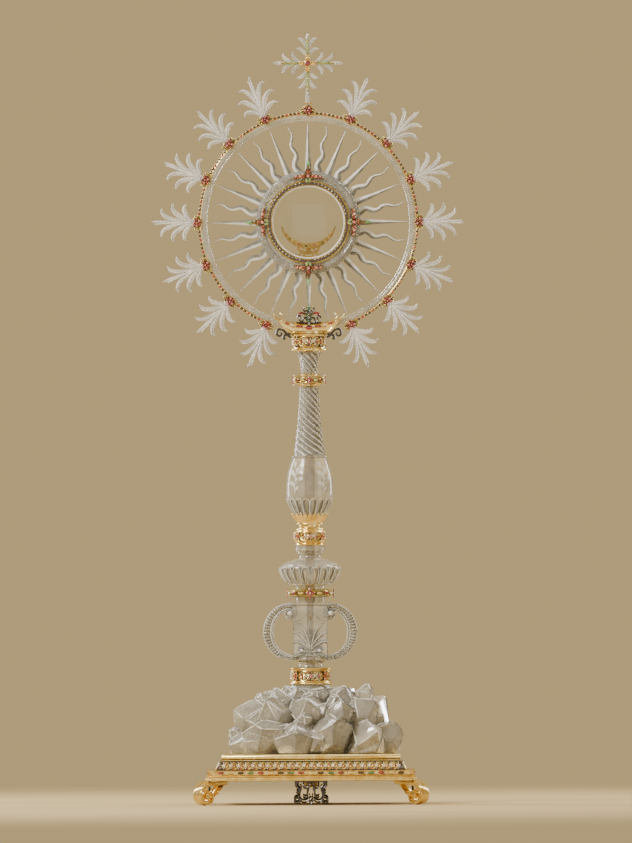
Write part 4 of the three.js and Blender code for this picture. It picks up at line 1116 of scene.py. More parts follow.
def capital():
    """The enamelled capital between the shaft and the cradle."""
    low, top = heights("capital")
    radius = 19.6
    profile = [(radius, low + 0.1), (20.8, low + 0.4), (21.8, low + 1.4), (21.8, low + 2.4),
               (20.8, low + 3.2), (20.4, low + 4.4), (radius, low + 5), (radius, top - 3.4),
               (20.6, top - 2.8), (21.4, top - 1.8), (21.4, top - 0.4), (20.4, top)]
    piece("capital_band", [close(turned(profile, 72))], gilt, "gilt", ["capital"])
    dark_ground("capital_ground", radius + 0.3, low + 4.6, top - 3.1)
    level = (low + top) / 2 + 1
    carry = partial(wrapped, radius=radius, z=level, turns=QUARTERS)
    flower_panel("capital_panel", carry, 12.4, 5.4, 1.0)
    oval_frame("capital_frames", carry, 13.4, 6.2, 0.5)
    carry = partial(wrapped, radius=radius, z=level, turns=QUARTERS + 45)
    jewels("capital_corners", {
        "garnets": [(0, 0, 90, 2.2, 1.2)],
        "pearls": [(0, -4, 1), (0, 4, 1)],
    }, carry)


# ---- Glory: ring, rim, rays and sprays ----

STEP = 22.5  # degrees from one rosette to the next
ROSETTES = np.arange(-7, 8) * STEP
ROSETTE_CIRCLE = 134.0
STONE_CIRCLE = 131.1


def ring_spots(radius, clockwise, long, wide):
    """Stones laid along a ring, at angles in degrees clockwise from its top."""
    return [(radius * math.sin(math.radians(a)), radius * math.cos(math.radians(a)), -a, long, wide)
            for a in clockwise]


def ring_beads(radius, clockwise, size):
    """Beads laid along a ring."""
    return [(u, v, size) for u, v, *_ in ring_spots(radius, clockwise, 0, 0)]


def on_glory(y):
    """Carry local points onto the upright plane at y, centred on the glory."""
    return partial(facing, z=GLORY_Z, y=y)


def swept(profile, start, stop, count=220):
    """A closed profile of (radius, y) carried part of the way round the glory's axis."""
    angle = np.radians(np.linspace(start, stop, count))[:, None]
    profile = np.asarray(profile, float)
    radius = profile[None, :, 0] + 0 * angle
    return np.stack([radius * np.sin(angle), profile[None, :, 1] + 0 * angle,
                     GLORY_Z + radius * np.cos(angle)], -1)


def stud(profile, columns=24):
    """A turned boss that faces forward: a profile of (radius, height)."""
    profile = np.asarray(profile, float)
    circle = around(columns)
    flat = profile[:, None, :1] * circle[None]
    return np.concatenate([flat, np.broadcast_to(profile[:, None, 1:], (*flat.shape[:2], 1))], -1)


def glory_ring():
    """The moulded crystal hoop and the gilt rim of garnets and dark stones round it."""
    ring = [(121.3, -2.2), (121.7, -3), (122.5, -3.4), (123.1, -3), (123.6, -2.9), (124.4, -3.6),
            (125.6, -4), (126.8, -3.6), (127.4, -3), (127.8, -3.1), (128.4, -2.2), (128.4, 2.4),
            (127.4, 3.4), (125, 4), (122.6, 3.4), (121.2, 2.4)]
    piece("glory_ring_hoop", [close(ringed(ring, 224), ring=True)], crystal, "rock_crystal",
          ["glory_ring"], crease=25)
    band = [(128.8, -1.6), (129, -2.3), (129.5, -2.5), (130, -2.2), (130.2, -1.6), (132, -1.6),
            (132.4, -1.2), (132.4, 2.6), (132, 3), (129.2, 3), (128.8, 2.4)]
    piece("jewelled_rim_hoop", [close(swept(band, -157.5, 157.5))], gilt, "gilt", ["jewelled_rim"])
    middles = (np.arange(-7, 7) + 0.5) * STEP
    pitch = math.degrees(4.9 / 131.4)
    along = np.arange(-3, 4) * pitch
    places = (middles[:, None] + along[None]).ravel()
    last, end = ((middles[:, None] + np.array([-1, 1])[None] * count * pitch).ravel()
                 for count in (3.85, 4.45))
    jewels("jewelled_rim", {
        "garnets": ring_spots(STONE_CIRCLE, places[0::3], 2.05, 1.25),
        "dark_garnets": ring_spots(STONE_CIRCLE, [*places[1::3], *places[2::3]], 2.05, 1.25),
        "emeralds": ring_spots(131.4, last, 1.0, 0.8),
        "pearls": ring_beads(131.6, end, 0.95),
    }, on_glory(-1.8), high=1.0, collet=0.12)


def rays():
    """Sixteen straight rays, ridged down the middle, and sixteen that wave, each cut to a point."""
    root, tip = 50.8, 120.9
    turns = np.arange(16) * STEP
    path = np.stack([np.zeros(24), np.linspace(root, tip, 24)], -1)
    t = np.linspace(0, 1, 24)
    ridged = np.array([(-1, 0.15), (-0.1, 1), (0.1, 1), (1, 0.15), (1, -0.15), (0.1, -1),
                       (-0.1, -1), (-1, -0.15)])
    width = 4.5 * (1 - t) ** 1.1 + 0.25
    ray = strip(path, width, 0.95, ridged, 1.2)
    hub = [(50.5, -2.15), (57, -2.15), (59, -1.4), (59, -0.3), (50.5, -0.3)]
    piece("straight_rays_cut", [close(about_glory(ray, turns)), close(ringed(hub, 96), ring=True)],
          crystal, "rock_crystal", ["straight_rays"], crease=18)
    # One half of each ray is covered by a white facet, a painted highlight, and the other half by a grey
    # facet, painted shade.
    facet = np.array([(-1, 0.3), (-0.12, 1.12), (-0.06, 1.12), (-0.06, 0.9), (-0.9, 0.1)])
    for name, side, painted_light_finish in (("painted_highlight", 1, engraved_and_highlight_white), ("grey", -1, painted_shade_grey)):
        face = strip(path[1:-1], width[1:-1], 0.95, facet * [side, 1], 1.2)
        piece(f"straight_rays_{name}_facets", [close(about_glory(face, turns))], painted_light_finish,
              "rock_crystal", crease=18)
    t = np.linspace(0, 1, 96)
    sway = 2.7 * np.sin(TAU * 2.7 * t) * (0.45 + 0.55 * np.minimum(t * 6, 1)) * (1 - 0.5 * t)
    path = np.stack([sway, root + (tip - 2.6 - root) * t], -1)
    half = 4.5 * (1 - t) ** 1.05 + 0.3 + 0.45 * np.sin(TAU * 5.4 * t + 0.6) * (1 - t)
    wavy = strip(path, half, 0.95, ridged, -1.1)
    # The wavy rays get the same facets: white on one half, a painted highlight, and grey on the other,
    # painted shade.
    facet = np.array([(-1, 0.4), (-0.3, 1.0), (-0.1, 1.1), (-0.1, 0.8), (-0.8, 0.2)])
    for name, side, painted_light_finish in (("painted_highlight", 1, engraved_and_highlight_white), ("grey", -1, painted_shade_grey)):
        face = strip(path[2:-2], half[2:-2], 0.95, facet * [side, 1], -1.1)
        piece(f"wavy_rays_{name}_facets", [close(about_glory(face, turns + STEP / 2))], painted_light_finish,
              "rock_crystal", crease=18)
    hub = [(50.5, 0.15), (57, 0.15), (59, 0.9), (59, 2.05), (50.5, 2.05)]
    solids = [close(about_glory(wavy, turns + STEP / 2)), close(ringed(hub, 96), ring=True)]
    piece("wavy_rays_cut", solids, crystal, "rock_crystal", ["wavy_rays"], crease=18)


def leaflet(start, length, heading, bend, curl, half, power=4.0):
    """One curled leaf of a spray, hollowed each side of its rib."""
    path = winding(start, length, heading, bend, curl, power, 26)
    return strip(path, half * blade(26, 0.7, 0.16), 1.35, LEAF)


def spray_leaves():
    """A spray drawn upright from the middle of its rosette: long leaves that part from the stalk
    and hook over at their tips, the lowest most of all."""
    pairs = [((1.6, 6), 25, 46, 18, 116, 2.9), ((1.6, 9), 33, 25, 14, 108, 3.1),
             ((1.1, 17), 34, 11, 10, 104, 2.8)]
    leaves = [mirrored(leaflet(*row)) for row in pairs]
    leaves.append(leaflet((0, 22), 34, 0, 3, 8, 2.5))
    stalk = strip([(0, 2), (0, 6), (0, 12), (0, 22), (0, 36)], [3.6, 4.6, 4.2, 2.9, 1.2], 1.5, LEAF)
    return [*leaves, stalk]


def spray_ribs():
    """White strips down the ribs of a spray's leaves: painted highlights along their ridges."""
    rows = (((1.6, 6), 21, 42, 16, 66), ((1.6, 9), 29, 22, 12, 60), ((1.1, 17), 29.5, 10, 8, 52),
            ((0.2, 4), 46, 0, 2, 4))
    return [mirrored(strip(winding(start, length, heading, bend, curl, 4.0, 22), 0.6, 0.35))
            for start, length, heading, bend, curl in rows]


def sprays():
    """The fourteen sprays, each on its own node, with the white rib highlights of all of them in one
    piece.
    """
    leaves = [leaf + [0, ROSETTE_CIRCLE, 0] for leaf in spray_leaves()]
    for side, sign in (("left", -1), ("right", 1)):
        for k in range(1, 8):
            solids = [close(about_glory(leaf, sign * k * STEP, -6.8)) for leaf in leaves]
            piece(f"leaf_spray_{side}_{k}_carved", solids, leaf_crystal, "rock_crystal",
                  [f"leaf_spray_{side}_{k}"], crease=25)
    turns = np.array([k * STEP for k in range(-7, 8) if k])
    ribs = [close(about_glory(rib + [0, ROSETTE_CIRCLE, 0], turns, -8.0))
            for pair in spray_ribs() for rib in pair]
    piece("leaf_spray_rib_highlights", ribs, engraved_and_highlight_white, "rock_crystal")


def rosettes():
    """Garnet flowers on gold discs, where the sprays spring from the rim."""
    disc = [(0.5, 0), (6.2, 0), (7, 0.7), (6.6, 1.6), (5.8, 1.9), (0.5, 1.7)]
    raised = np.array([0, ROSETTE_CIRCLE, 0])

    def carry(points):
        return about_glory(points + raised, ROSETTES, -4.5)

    piece("rosette_discs", [close(carry(stud(disc)))], chased, "jewelled_gilt")
    inlay = [(0.5, 1.5), (6.1, 1.5), (5.9, 2.05), (0.5, 2.1)]
    piece("rosette_enamels", [close(carry(stud(inlay)))], brown_enamel, "black_enamel")
    jewels("rosettes", {
        "garnets": petals(0, 0, 3, 3.5, 1.7, 1.3),
        "spinels": [*petals(0, 0, 3, 3.5, 1.7, 1.3, 60), (0, 0, 22, 1.1, 1.1)],
        "dark_garnets": petals(0, 0, 6, 5.7, 1.1, 0.9, 30) + petals(0, 0, 6, 1.9, 0.7, 0.5, 30),
        "gold_beads": petals_as_beads(6, 6.2, 0.7, 0),
        "white_beads": petals_as_beads(3, 5.6, 0.6, 12),
        "emeralds": [(s * 7.6, v, s * v * 12, 1.3, 0.75) for s in (-1, 1) for v in (-1.6, 1.6)],
    }, carry, high=2.1, foot=1.7)
    hook = spiral((8.4, 0), 2.0, 0.7, 250, 0.9, 14)
    side = [mirrored(strip(hook * [1, s], 0.42, 0.6, around(6), 1.2)) for s in (-1, 1)]
    piece("rosette_hooks", [close(carry(part)) for half in side for part in half], gilt, "gilt")


def petals_as_beads(count, reach, size, start):
    """Beads set round a point."""
    return [(u, v, size) for u, v, *_ in petals(0, 0, count, reach, 0, 0, start)]


# ---- Top cross ----


def top_cross():
    """A gem-set cross with crystal leaves curling from its arms, standing on the top rosette."""
    _, (_, _, top) = node_box("top_cross")
    centre = 190.7 + GLORY_Z
    ends = {0: top - centre - 0.1, 90: 42.4, 180: 49.5, 270: 42.4}
    carry = partial(rotated_in_plane, centre=centre)
    green, gold, leaves, pearls = [], [], [], []
    for turn, reach in ends.items():
        arm = 34.0 if turn != 180 else 36.0
        t = np.linspace(0, 1, 20)
        path = np.stack([0 * t, 6 + (arm - 8) * t], -1)
        blade_half = 0.8 + 0.9 * np.sin(np.pi * np.minimum(t**1.2, 1)) ** 1.2
        green.append(close(carry(strip(path, blade_half, 1.0, RIDGE, 0.4), turn, -7.0)))
        rib = strip([(0, 6), (0, arm * 0.6), (0, arm - 3)], [0.55, 0.5, 0.4], 0.7)
        gold.append(close(carry(rib, turn, -8.3)))
        if turn != 180:
            tip = leaflet((0, arm - 7), reach - arm + 7, 0, 2, 2, 2.4)
            leaves.append(close(carry(tip, turn, -6.4)))
        else:
            body = strip([(0, arm - 6), (0, arm + 4), (0, reach)], [2.0, 3.0, 2.6], 1.3, LEAF)
            leaves.append(close(carry(body, turn, -6.4)))
        for leaf_path in (((0.8, 9), 17, 34, 20, 100), ((0.8, 18), 18, 22, 16, 96)):
            leaf = mirrored(leaflet(*leaf_path, 2.2))
            leaves += [close(carry(part, turn, -6.4)) for part in leaf]
        pearls.append(close(carry(beads([(0, arm - 0.4, 1.35, 0.9)]), turn, -7.6)))
    piece("top_cross_green_spines", green, green_enamel, "green_stone", ["top_cross"])
    piece("top_cross_gold_ribs", gold, gilt, "gilt")
    piece("top_cross_crystal_leaves", leaves, leaf_crystal, "rock_crystal", crease=25)
    piece("top_cross_pearls", pearls, pearl, "pearl")
    disc = [(0.5, 0), (4.6, 0), (5.2, 0.8), (5, 1.6), (4.4, 1.8), (4.2, 2.5), (0.5, 2.6)]
    place = partial(facing, z=centre, y=-5.2)
    piece("top_cross_boss", [close(place(stud(disc)))], gilt, "gilt")
    jewels("top_cross_heart", {
        "garnets": [(0, 0, 22, 3.4, 3.4)],
        "gold_beads": [(a * math.cos(q) - b * math.sin(q), a * math.sin(q) + b * math.cos(q), 1.45)
                       for q in np.radians(QUARTERS) for a in (6.3, 9.2) for b in (-1.5, 1.5)],
        "topazes": petals(0, 0, 4, 7.7, 2.2, 0.7),
        "emeralds": [(0, s * 12.2, 90, 1.3, 0.7) for s in (-1, 1)] + both(12.2, 0, 0, 1.3, 0.7),
    }, place, high=1.5, foot=2.5)
    jewels("top_cross_spots", {
        "emeralds": [(0, 25, 90, 2.2, 0.7), (0, -27, 90, 2.2, 0.7), *both(25, 0, 0, 2.2, 0.7)],
        "dark_garnets": [(0, 30, 90, 1.2, 0.8), (0, -31.5, 90, 1.2, 0.8), *both(30, 0, 0, 1.2, 0.8)],
    }, partial(facing, z=centre, y=-7.8), high=0.9)
    crown = strip(through([(-4.6, 143.6), (-2, 142.6), (2, 142.6), (4.6, 143.6)]), 0.8, 1.6)
    piece("top_cross_foot_band", [close(on_glory(-6.6)(crown))], gilt, "gilt")


def rotated_in_plane(points, clockwise, y, centre):
    """Turn local points clockwise in the upright plane at y, about a point at a level."""
    a = math.radians(clockwise)
    u, v, w = np.moveaxis(points, -1, 0)
    right, up = u * math.cos(a) + v * math.sin(a), v * math.cos(a) - u * math.sin(a)
    return np.stack([right, y - w, centre + up], -1)


# ---- Cradle and crest ----


def cradle():
    """The gilt boat that takes the glory's ring, with its horns, black brackets and stones."""
    low, _ = heights("cradle")
    bottom, flat, ring_radius = 564.9, 21.5, 121.4
    x = np.linspace(-38, 38, 61)
    upper = GLORY_Z - np.sqrt(ring_radius**2 - x**2)
    lower = bottom + np.maximum(np.abs(x) - flat, 0) ** 1.25 * 0.53
    lower = np.minimum(lower, upper - 1.2)
    body = strip(np.stack([x, (upper + lower) / 2], -1), (upper - lower) / 2, 6.6, BAND)
    tenon = [(7.9, low + 0.1), (7.9, 562), (20.6, bottom), (20.6, 567), (7.9, 567)]
    piece("cradle_body", [close(facing(body)), close(turned(tenon, 48))], gilt, "gilt", ["cradle"],
          crease=30)
    straps = []
    for path, half in ((np.stack([x, upper - 1.3], -1), 1.1), (np.stack([x, lower + 1.1], -1)[8:-8], 1.1),
                       (np.stack([x, lower * 0.42 + upper * 0.58], -1)[4:-4], 0.5),
                       (np.stack([x, lower * 0.8 + upper * 0.2], -1)[10:-10], 0.5)):
        straps.append(strip(path, half, 1.3))
    horns = through([(34, 580.3), (38, 582.4), (41.4, 585.4), (42.6, 588.4)])
    straps.append(mirrored(strip(horns, 1.2 - 0.8 * np.linspace(0, 1, len(horns)) ** 2, 1.6)))
    curl = through([(26, 578.6), (30, 581.4), (33.2, 584), (34.6, 587.4), (32.6, 589.8), (30.6, 588.2)])
    straps.append(mirrored(strip(curl, 0.6, 0.9)))
    solids = [close(facing(part, y=-7)) for part in straps]
    solids += [close(turned_about(facing(part, y=-7), [180])) for part in straps]
    piece("cradle_straps", solids, gilt, "gilt")
    hooks = [
        through([(21.4, 560), (24.6, 561.6), (28, 565.6), (31.6, 569), (35.6, 569.6), (38.4, 567),
                 (38.2, 563.4), (35.4, 561.8), (33.2, 563.6), (33.8, 565.6)], 6),
        through([(22.4, 563), (24.4, 566.8), (23.6, 569.8)], 6),
        through([(26.4, 563.2), (29.6, 562), (30.4, 559.2), (28.2, 557.8)], 6),
    ]
    dark = [mirrored(strip(path, 1.4, 1.1)) for path in hooks]
    piece("cradle_brackets", [close(facing(part, y=-5.4)) for part in dark], black_enamel, "black_enamel")
    middle = 571.4
    jewels("cradle_front", {
        "garnets": [(0, middle, 0, 4.6, 2.3), *both(11, middle + 1.6, 6, 4.4, 1.2),
                    *both(26, 577, 23, 3.6, 1.1)],
        "spinels": [(-19.4 * s, middle + 3 + a, 0, 0.9, 0.6) for s in (-1, 1) for a in (-2.3, 2.3)],
        "pearls": both(19.2, middle + 3, 1.5) + both(32.6, 579.8, 1.2),
        "gold_beads": [(s * 6.4, middle + v, 0.7) for s in (-1, 1) for v in (-1.4, 1.6)],
    }, partial(facing, y=-7.2), high=1.3)
    jewels("cradle_horn", {"pearls": both(32.4, 587.6, 1.6)}, partial(facing, y=-7.4))


def crest():
    """The black scrolls with red and green leaves that stand on the cradle, mirror images."""
    y = -9.95
    dark = [
        (through([(1.5, 577.4), (5.4, 576.8), (7.4, 579.8), (6, 583), (3.2, 583.4), (2.6, 581)], 6), 0.9),
        (through([(4.4, 576.4), (8.6, 577.4), (11, 580.8), (9.8, 584.6), (12.4, 586),
                  (14.6, 583.2)], 6), 0.85),
        (through([(8.4, 576.6), (12.2, 577.6), (15, 578.2)], 6), 0.6),
        (through([(0, 574), (1.6, 578), (2.2, 584), (1.2, 589.4), (2.2, 592), (5, 591), (6.2, 593.8),
                  (5.2, 596)], 6), 0.8),
        (through([(1.6, 587), (4.4, 588.8), (6.4, 588.2)], 6), 0.7),
    ]
    piece("cradle_crest_scrolls",
          [close(facing(mirrored(strip(path, half * 1.35, 1.2)), y=y)) for path, half in dark],
          black_enamel, "black_enamel", ["cradle_crest"])
    red = through([(4.4, 586.2), (7.6, 589.2), (11.4, 588.4), (13.2, 584.8)], 7)
    red_leaf = strip(red, 1.35 * blade(len(red), 0.7, 0.1), 1.1, LEAF)
    piece("cradle_crest_red_leaves", [close(facing(mirrored(red_leaf), y=y - 0.3))], red_stone,
          "red_stone")
    tip = through([(0, 590), (0, 594), (0, 599.8)], 8)
    wing = through([(0, 594.4), (1.6, 595.6), (3.6, 595.2)], 6)
    solids = [close(facing(strip(tip, 1.2 * blade(len(tip), 0.8, 0.2), 1.1, LEAF), y=y)),
              close(facing(mirrored(strip(wing, blade(len(wing), 0.8, 0.2), 0.9, LEAF)), y=y))]
    for level in (581, 585):
        side = winding((0, level), 6, 40, 60, 60)
        leaf = strip(side, 0.9 * blade(len(side), 0.8, 0.2), 1.1, LEAF)
        solids.append(close(facing(mirrored(leaf), y=y - 0.4)))
    piece("cradle_crest_green_leaves", solids, green_stone, "green_stone")
    jewels("cradle_crest_heart", {
        "emeralds": [(0, 580, 0, 1.2, 1.2)],
        "gold_beads": [(0, 587, 1.0), (5.2, 596.2, 0.8), (-5.2, 596.2, 0.8)],
        "pearls": [(0, 575.6, 0.9)],
    }, partial(facing, y=y + 0.2), high=1.2)


# ---- Host case ----

LATCH_X = 56.0
HINGE_X, HINGE_Y = -56.0, 18.2


def host_case():
    """The drum round the host, its panes, its crystal moulding and its jewelled bezel."""
    shell = [(44.5, -12.2), (46.2, -12.4), (46.4, -14.2), (46.8, -14.6), (49.8, -14.6), (50.1, -14.2),
             (50.1, 2.4), (59.4, 2.4), (60, 2.8), (60, 4.5), (59.4, 4.9), (50.1, 4.9), (50.1, 12),
             (50.6, 12.6), (50.6, 13.6), (50.1, 14.2), (50.1, 15.6), (49.7, 16), (45, 16), (44.5, 15.5)]
    glass = [(0.4, -14.6), (45.4, -14.6), (46, -14.1), (46, -12.7), (0.4, -12.7)]
    piece("front_glass_disc", [close(ringed(glass, 128))], pane, "pane_glass", ["front_glass"])
    moulding = [(50.6, -4), (50.6, -12.4), (51.4, -13.4), (52.4, -13), (53.4, -12.9), (54.6, -14.2),
                (56.4, -15.2), (58.4, -14.8), (60, -13.4), (60.8, -11.9), (61.3, -11.6), (62.2, -10.4),
                (62.4, -8.6), (62.4, -5), (61.6, -3.4), (60, -2.7), (52, -2.7)]
    piece("window_moulding_turned", [close(ringed(moulding, 192), ring=True)], crystal, "rock_crystal",
          ["window_moulding"], crease=25)
    bezel = [(43.9, -14.95), (43.9, -15.8), (44.3, -16.4), (44.7, -16.3), (44.9, -15.8), (48.7, -15.8),
             (48.9, -16.3), (49.3, -16.4), (49.8, -15.8), (49.8, -14.95)]
    channel = [(44.95, -15.7), (44.95, -16), (48.65, -16), (48.65, -15.7)]
    piece("jewelled_bezel_channel", [close(ringed(channel, 128), ring=True)], brown_enamel,
          "black_enamel")
    piece("jewelled_bezel_hoop", [close(ringed(bezel, 160), ring=True)], gilt, "gilt", ["jewelled_bezel"])
    # A white ring round the front pane's edge: a painted highlight of its bevel.
    bevel = [(42.2, -14.75), (43.6, -15.3), (43.6, -14.75)]
    piece("front_glass_bevel_highlight", [close(ringed(bevel, 128), ring=True)], engraved_and_highlight_white, "pane_glass")

    count = 64
    step = 360 / count
    room = 7  # degrees kept clear each side of a trefoil
    clear = [k * step for k in range(count) if abs((k * step + 45) % 90 - 45) > room]
    halves = [a + step / 2 for a in clear if abs((a + step / 2 + 45) % 90 - 45) > room]
    jewels("jewelled_bezel_stones", {
        "dark_garnets": ring_spots(46.8, clear, 1.8, 1.85),
        "gold_beads": ring_beads(45.7, halves, 0.5),
        "green_beads": ring_beads(47.7, halves, 0.5),
    }, on_glory(-15.9), high=0.7, collet=0.1)
    cluster()
    solids = [close(ringed(shell, 160), ring=True)]
    for low, high in ((-11, -4), (4, 11)):
        solids.append(barrel(low, high))
        solids.append(block((-58.8, 11.2, low + 0.1), (-48.6, 15.9, high - 0.1)))
    for side in (-1, 1):
        for near in (14.3, 12.5):
            x = sorted((side * near, side * 16.6))
            solids.append(block((x[0], -11.5, -46 if near > 14 else -39.5), (x[1], 15, -37.7), 0.2))
    solids.append(block((48.6, 11.2, -3.3), (53.4, 15.9, 3.3)))
    boss = [(1.6, 11.1), (3.1, 11.1), (3.4, 11.4), (3.4, 15.6), (3.1, 15.9), (1.6, 15.9)]
    solids.append(close(ringed(boss, 32, LATCH_X), ring=True))
    piece("case_shell_turned_and_soldered", solids, gilt, "gilt", ["case_shell"])


def block(low, high, soft=0.4):
    """A bar between two corners, its edges just taken off; levels count from the glory's middle."""
    (x0, y0, z0), (x1, y1, z1) = low, high
    rows = []
    for level, inset in ((z0, soft), (z0 + soft, 0), (z1 - soft, 0), (z1, soft)):
        a, b, c, d = x0 + inset, x1 - inset, y0 + inset, y1 - inset
        corners = [(a + soft, c), (b - soft, c), (b, c + soft), (b, d - soft), (b - soft, d),
                   (a + soft, d), (a, d - soft), (a, c + soft)]
        rows.append([(*corner, level) for corner in corners])
    return close(np.array(rows) + [0, 0, GLORY_Z])


def barrel(low, high):
    """One knuckle of the door's hinge."""
    profile = [(1.6, low), (2.8, low), (3, low + 0.2), (3, high - 0.2), (2.8, high), (1.6, high)]
    return close(turned(profile, 32) + [HINGE_X, HINGE_Y, GLORY_Z], ring=True)


def cluster():
    """The trefoil of stones at each quarter of the bezel."""
    carry = partial(about_glory, clockwise=QUARTERS, y=-15.2)
    stalk = through([(0, 47), (0, 52), (0, 58), (0, 63), (0, 68.6)])
    stalk_half = np.interp(np.linspace(0, 1, len(stalk)), [0, 0.25, 0.5, 1], [4.4, 5.6, 4.6, 0.8])
    wing = through([(2, 54), (8, 54.6), (13, 53.6), (17, 52)])
    wings = mirrored(strip(wing, np.linspace(3.4, 1.6, len(wing)), 0.6, BAND))
    backing = [strip(stalk, stalk_half, 0.6, BAND), *wings]
    piece("bezel_cluster_plates", [close(carry(part)) for part in backing], brown_enamel,
          "jewelled_gilt")
    jewels("bezel_cluster", {
        "green_leaves": [(s * 1.9, 50.2, 90 - s * 18, 2.6, 1.3) for s in (-1, 1)],
        "emeralds": [(0, 47.6, 90, 1.1, 0.8)],
        "spinels": [(0, 55.2, 45, 1.9, 1.7), *both(9.6, 54.8, 10, 1.8, 1.5),
                    *both(14.4, 54.6, -25, 1.5, 1.1), *both(6.8, 57, 60, 1.0, 0.8)],
        "garnets": [(0, 59.4, 90, 1.6, 1.5), *both(5.2, 54.8, 45, 1.5, 1.5),
                    *both(2.9, 61, 60, 1.0, 0.8), *both(12, 52.4, 20, 1.0, 0.8)],
        "dark_garnets": [(0, 63.4, 90, 1.3, 1.2), (0, 66.4, 90, 1.0, 1.0),
                         *both(3.4, 52.6, 50, 1.1, 0.7), *both(16.4, 52.4, 30, 1.0, 0.8)],
        "gold_beads": both(3.2, 57.6, 0.7) + both(7.4, 52.8, 0.7) + both(1.9, 64.9, 0.6),
    }, carry, high=1.8, foot=0.7)
    tip = strip([(0, 64.5), (0, 68), (0, 72), (0, 76)], [0.6, 2.2, 1.8, 0.4], 0.8, RIDGE)
    piece("bezel_green_tips", [close(about_glory(tip, QUARTERS, -3.4))], green_enamel, "green_stone")


# ---- Lunula ----


def lunula():
    """The crescent that holds the host, on two bowed legs and a runner, and its hinged fellow."""
    t = np.linspace(-1, 1, 61)
    tip_x, tip_v = 31.2, -4.4

    def arc(radius):
        sweep = math.asin(tip_x / radius)
        centre = tip_v + math.sqrt(radius**2 - tip_x**2)
        return np.stack([radius * np.sin(sweep * t), centre - radius * np.cos(sweep * t)], -1)

    outer, inner = arc(31.7), arc(34)
    middle = (outer + inner) / 2
    width = np.maximum(np.linalg.norm(outer - inner, axis=1) / 2, 0.25)
    crescent = strip(middle, width, 0.75, BAND)
    edges = [strip(inner, 0.45, 0.6), strip(outer, 0.45, 0.6)]
    piece("lunula_front_crescent", [close(on_glory(-4.8)(crescent))]
          + [close(on_glory(-5.3)(edge)) for edge in edges], gilt, "gilt", ["lunula_front"], "lunula")
    legs = []
    for path, across in (
        (through([(10, -26.5), (11.8, -29), (11.4, -31.6), (9.4, -33.6), (9.6, -36.6), (12.2, -38.6),
                  (13, -40)], 5), 1.15),
        (through([(9.2, -34), (7, -33), (6.4, -30.8), (8, -30)], 5), 0.75),
    ):
        legs.append(mirrored(strip(path, across, 1.0)))
    solids = [close(on_glory(-4.9)(leg)) for leg in legs]
    runner = strip([(-13.9, -40.75), (13.9, -40.75)], 0.95, 6.0, BAND)
    solids.append(close(on_glory(-3.5)(runner)))
    posts = mirrored(strip([(5, -40.4), (5, -35), (5, -32.8)], [1.1, 1.1, 0.7], 1.9, BAND))
    solids.append(close(on_glory(-0.9)(posts)))
    piece("lunula_front_legs_and_runner", solids, gilt, "gilt", body="lunula")
    places = (8, 13, 18, 22, 25, 28, 32, 35, 38, 42, 47, 52)
    spots = {"emeralds": [], "spinels": [], "topazes": []}
    for order, k in enumerate(places):
        u, v = middle[k]
        step = middle[min(k + 1, 60)] - middle[k - 1]
        turn = math.degrees(math.atan2(step[1], step[0]))
        kind = ("topazes", "emeralds", "topazes", "spinels")[order % 4] if 0 < order < 11 else "topazes"
        spots[kind].append((u, v, turn, 1.5, max(width[k] * 0.52, 0.45)))
    jewels("lunula_front", spots, on_glory(-5.4), "lunula", high=0.75)
    back = [close(on_glory(-0.9)(strip(middle, width, 0.65, BAND)))]
    hub = turned([(0.3, -3.4), (1.8, -3.4), (1.8, 3.4), (0.3, 3.4)], 20)
    pin = turned([(0.2, -7.6), (0.7, -7.6), (0.7, 7.6), (0.2, 7.6)], 16)
    tang = strip([(0, -34.4), (0, -30), (0, -26)], [3.2, 2.4, 3.4], 0.6, BAND)
    back.append(close(on_glory(-0.9)(tang)))
    for part in (hub, pin):
        x, y, z = np.moveaxis(part, -1, 0)
        back.append(close(np.stack([z, y - 0.9, GLORY_Z - 34.6 + x], -1)))
    piece("lunula_clip_crescent", back, gilt, "gilt", ["lunula_clip"], "lunula_clip")


# ---- Rear door and turn button ----


def rear_door():
    """The round door behind the host: a moulded ring with its pane, hinge knuckle, leaf and knob."""
    frame_ring = [(41, 18.4), (43.9, 18.4), (43.9, 16.5), (51, 16.5), (51.5, 17), (51.5, 18.6),
                  (50.8, 19.2), (49.8, 19.2), (49, 20), (46.6, 20), (45.8, 19.2), (43, 19.2), (42.2, 20),
                  (41.4, 20), (41, 19.6)]
    knob = [(0.4, 19.4), (1.6, 19.4), (1.4, 21.7), (2.4, 22.6), (3, 23.6), (3, 25), (2.4, 26),
            (1.2, 26.5), (0.3, 26.5)]
    knob_x, knob_drop = 42, 20
    solids = [close(ringed(frame_ring, 160), ring=True), barrel(-3.7, 3.7),
              block((-54, 16.8, -3.6), (-49.4, 19.6, 3.6)),
              close(ringed(knob, 24, knob_x, GLORY_Z - knob_drop))]
    piece("rear_door_moulded_ring", solids, gilt, "gilt", ["rear_door_frame"], "rear_door")
    glass = [(0.4, 16.9), (43.2, 16.9), (43.6, 17.2), (43.6, 18), (0.4, 18)]
    piece("rear_glass_disc", [close(ringed(glass, 128))], pane, "pane_glass", ["rear_glass"], "rear_door")


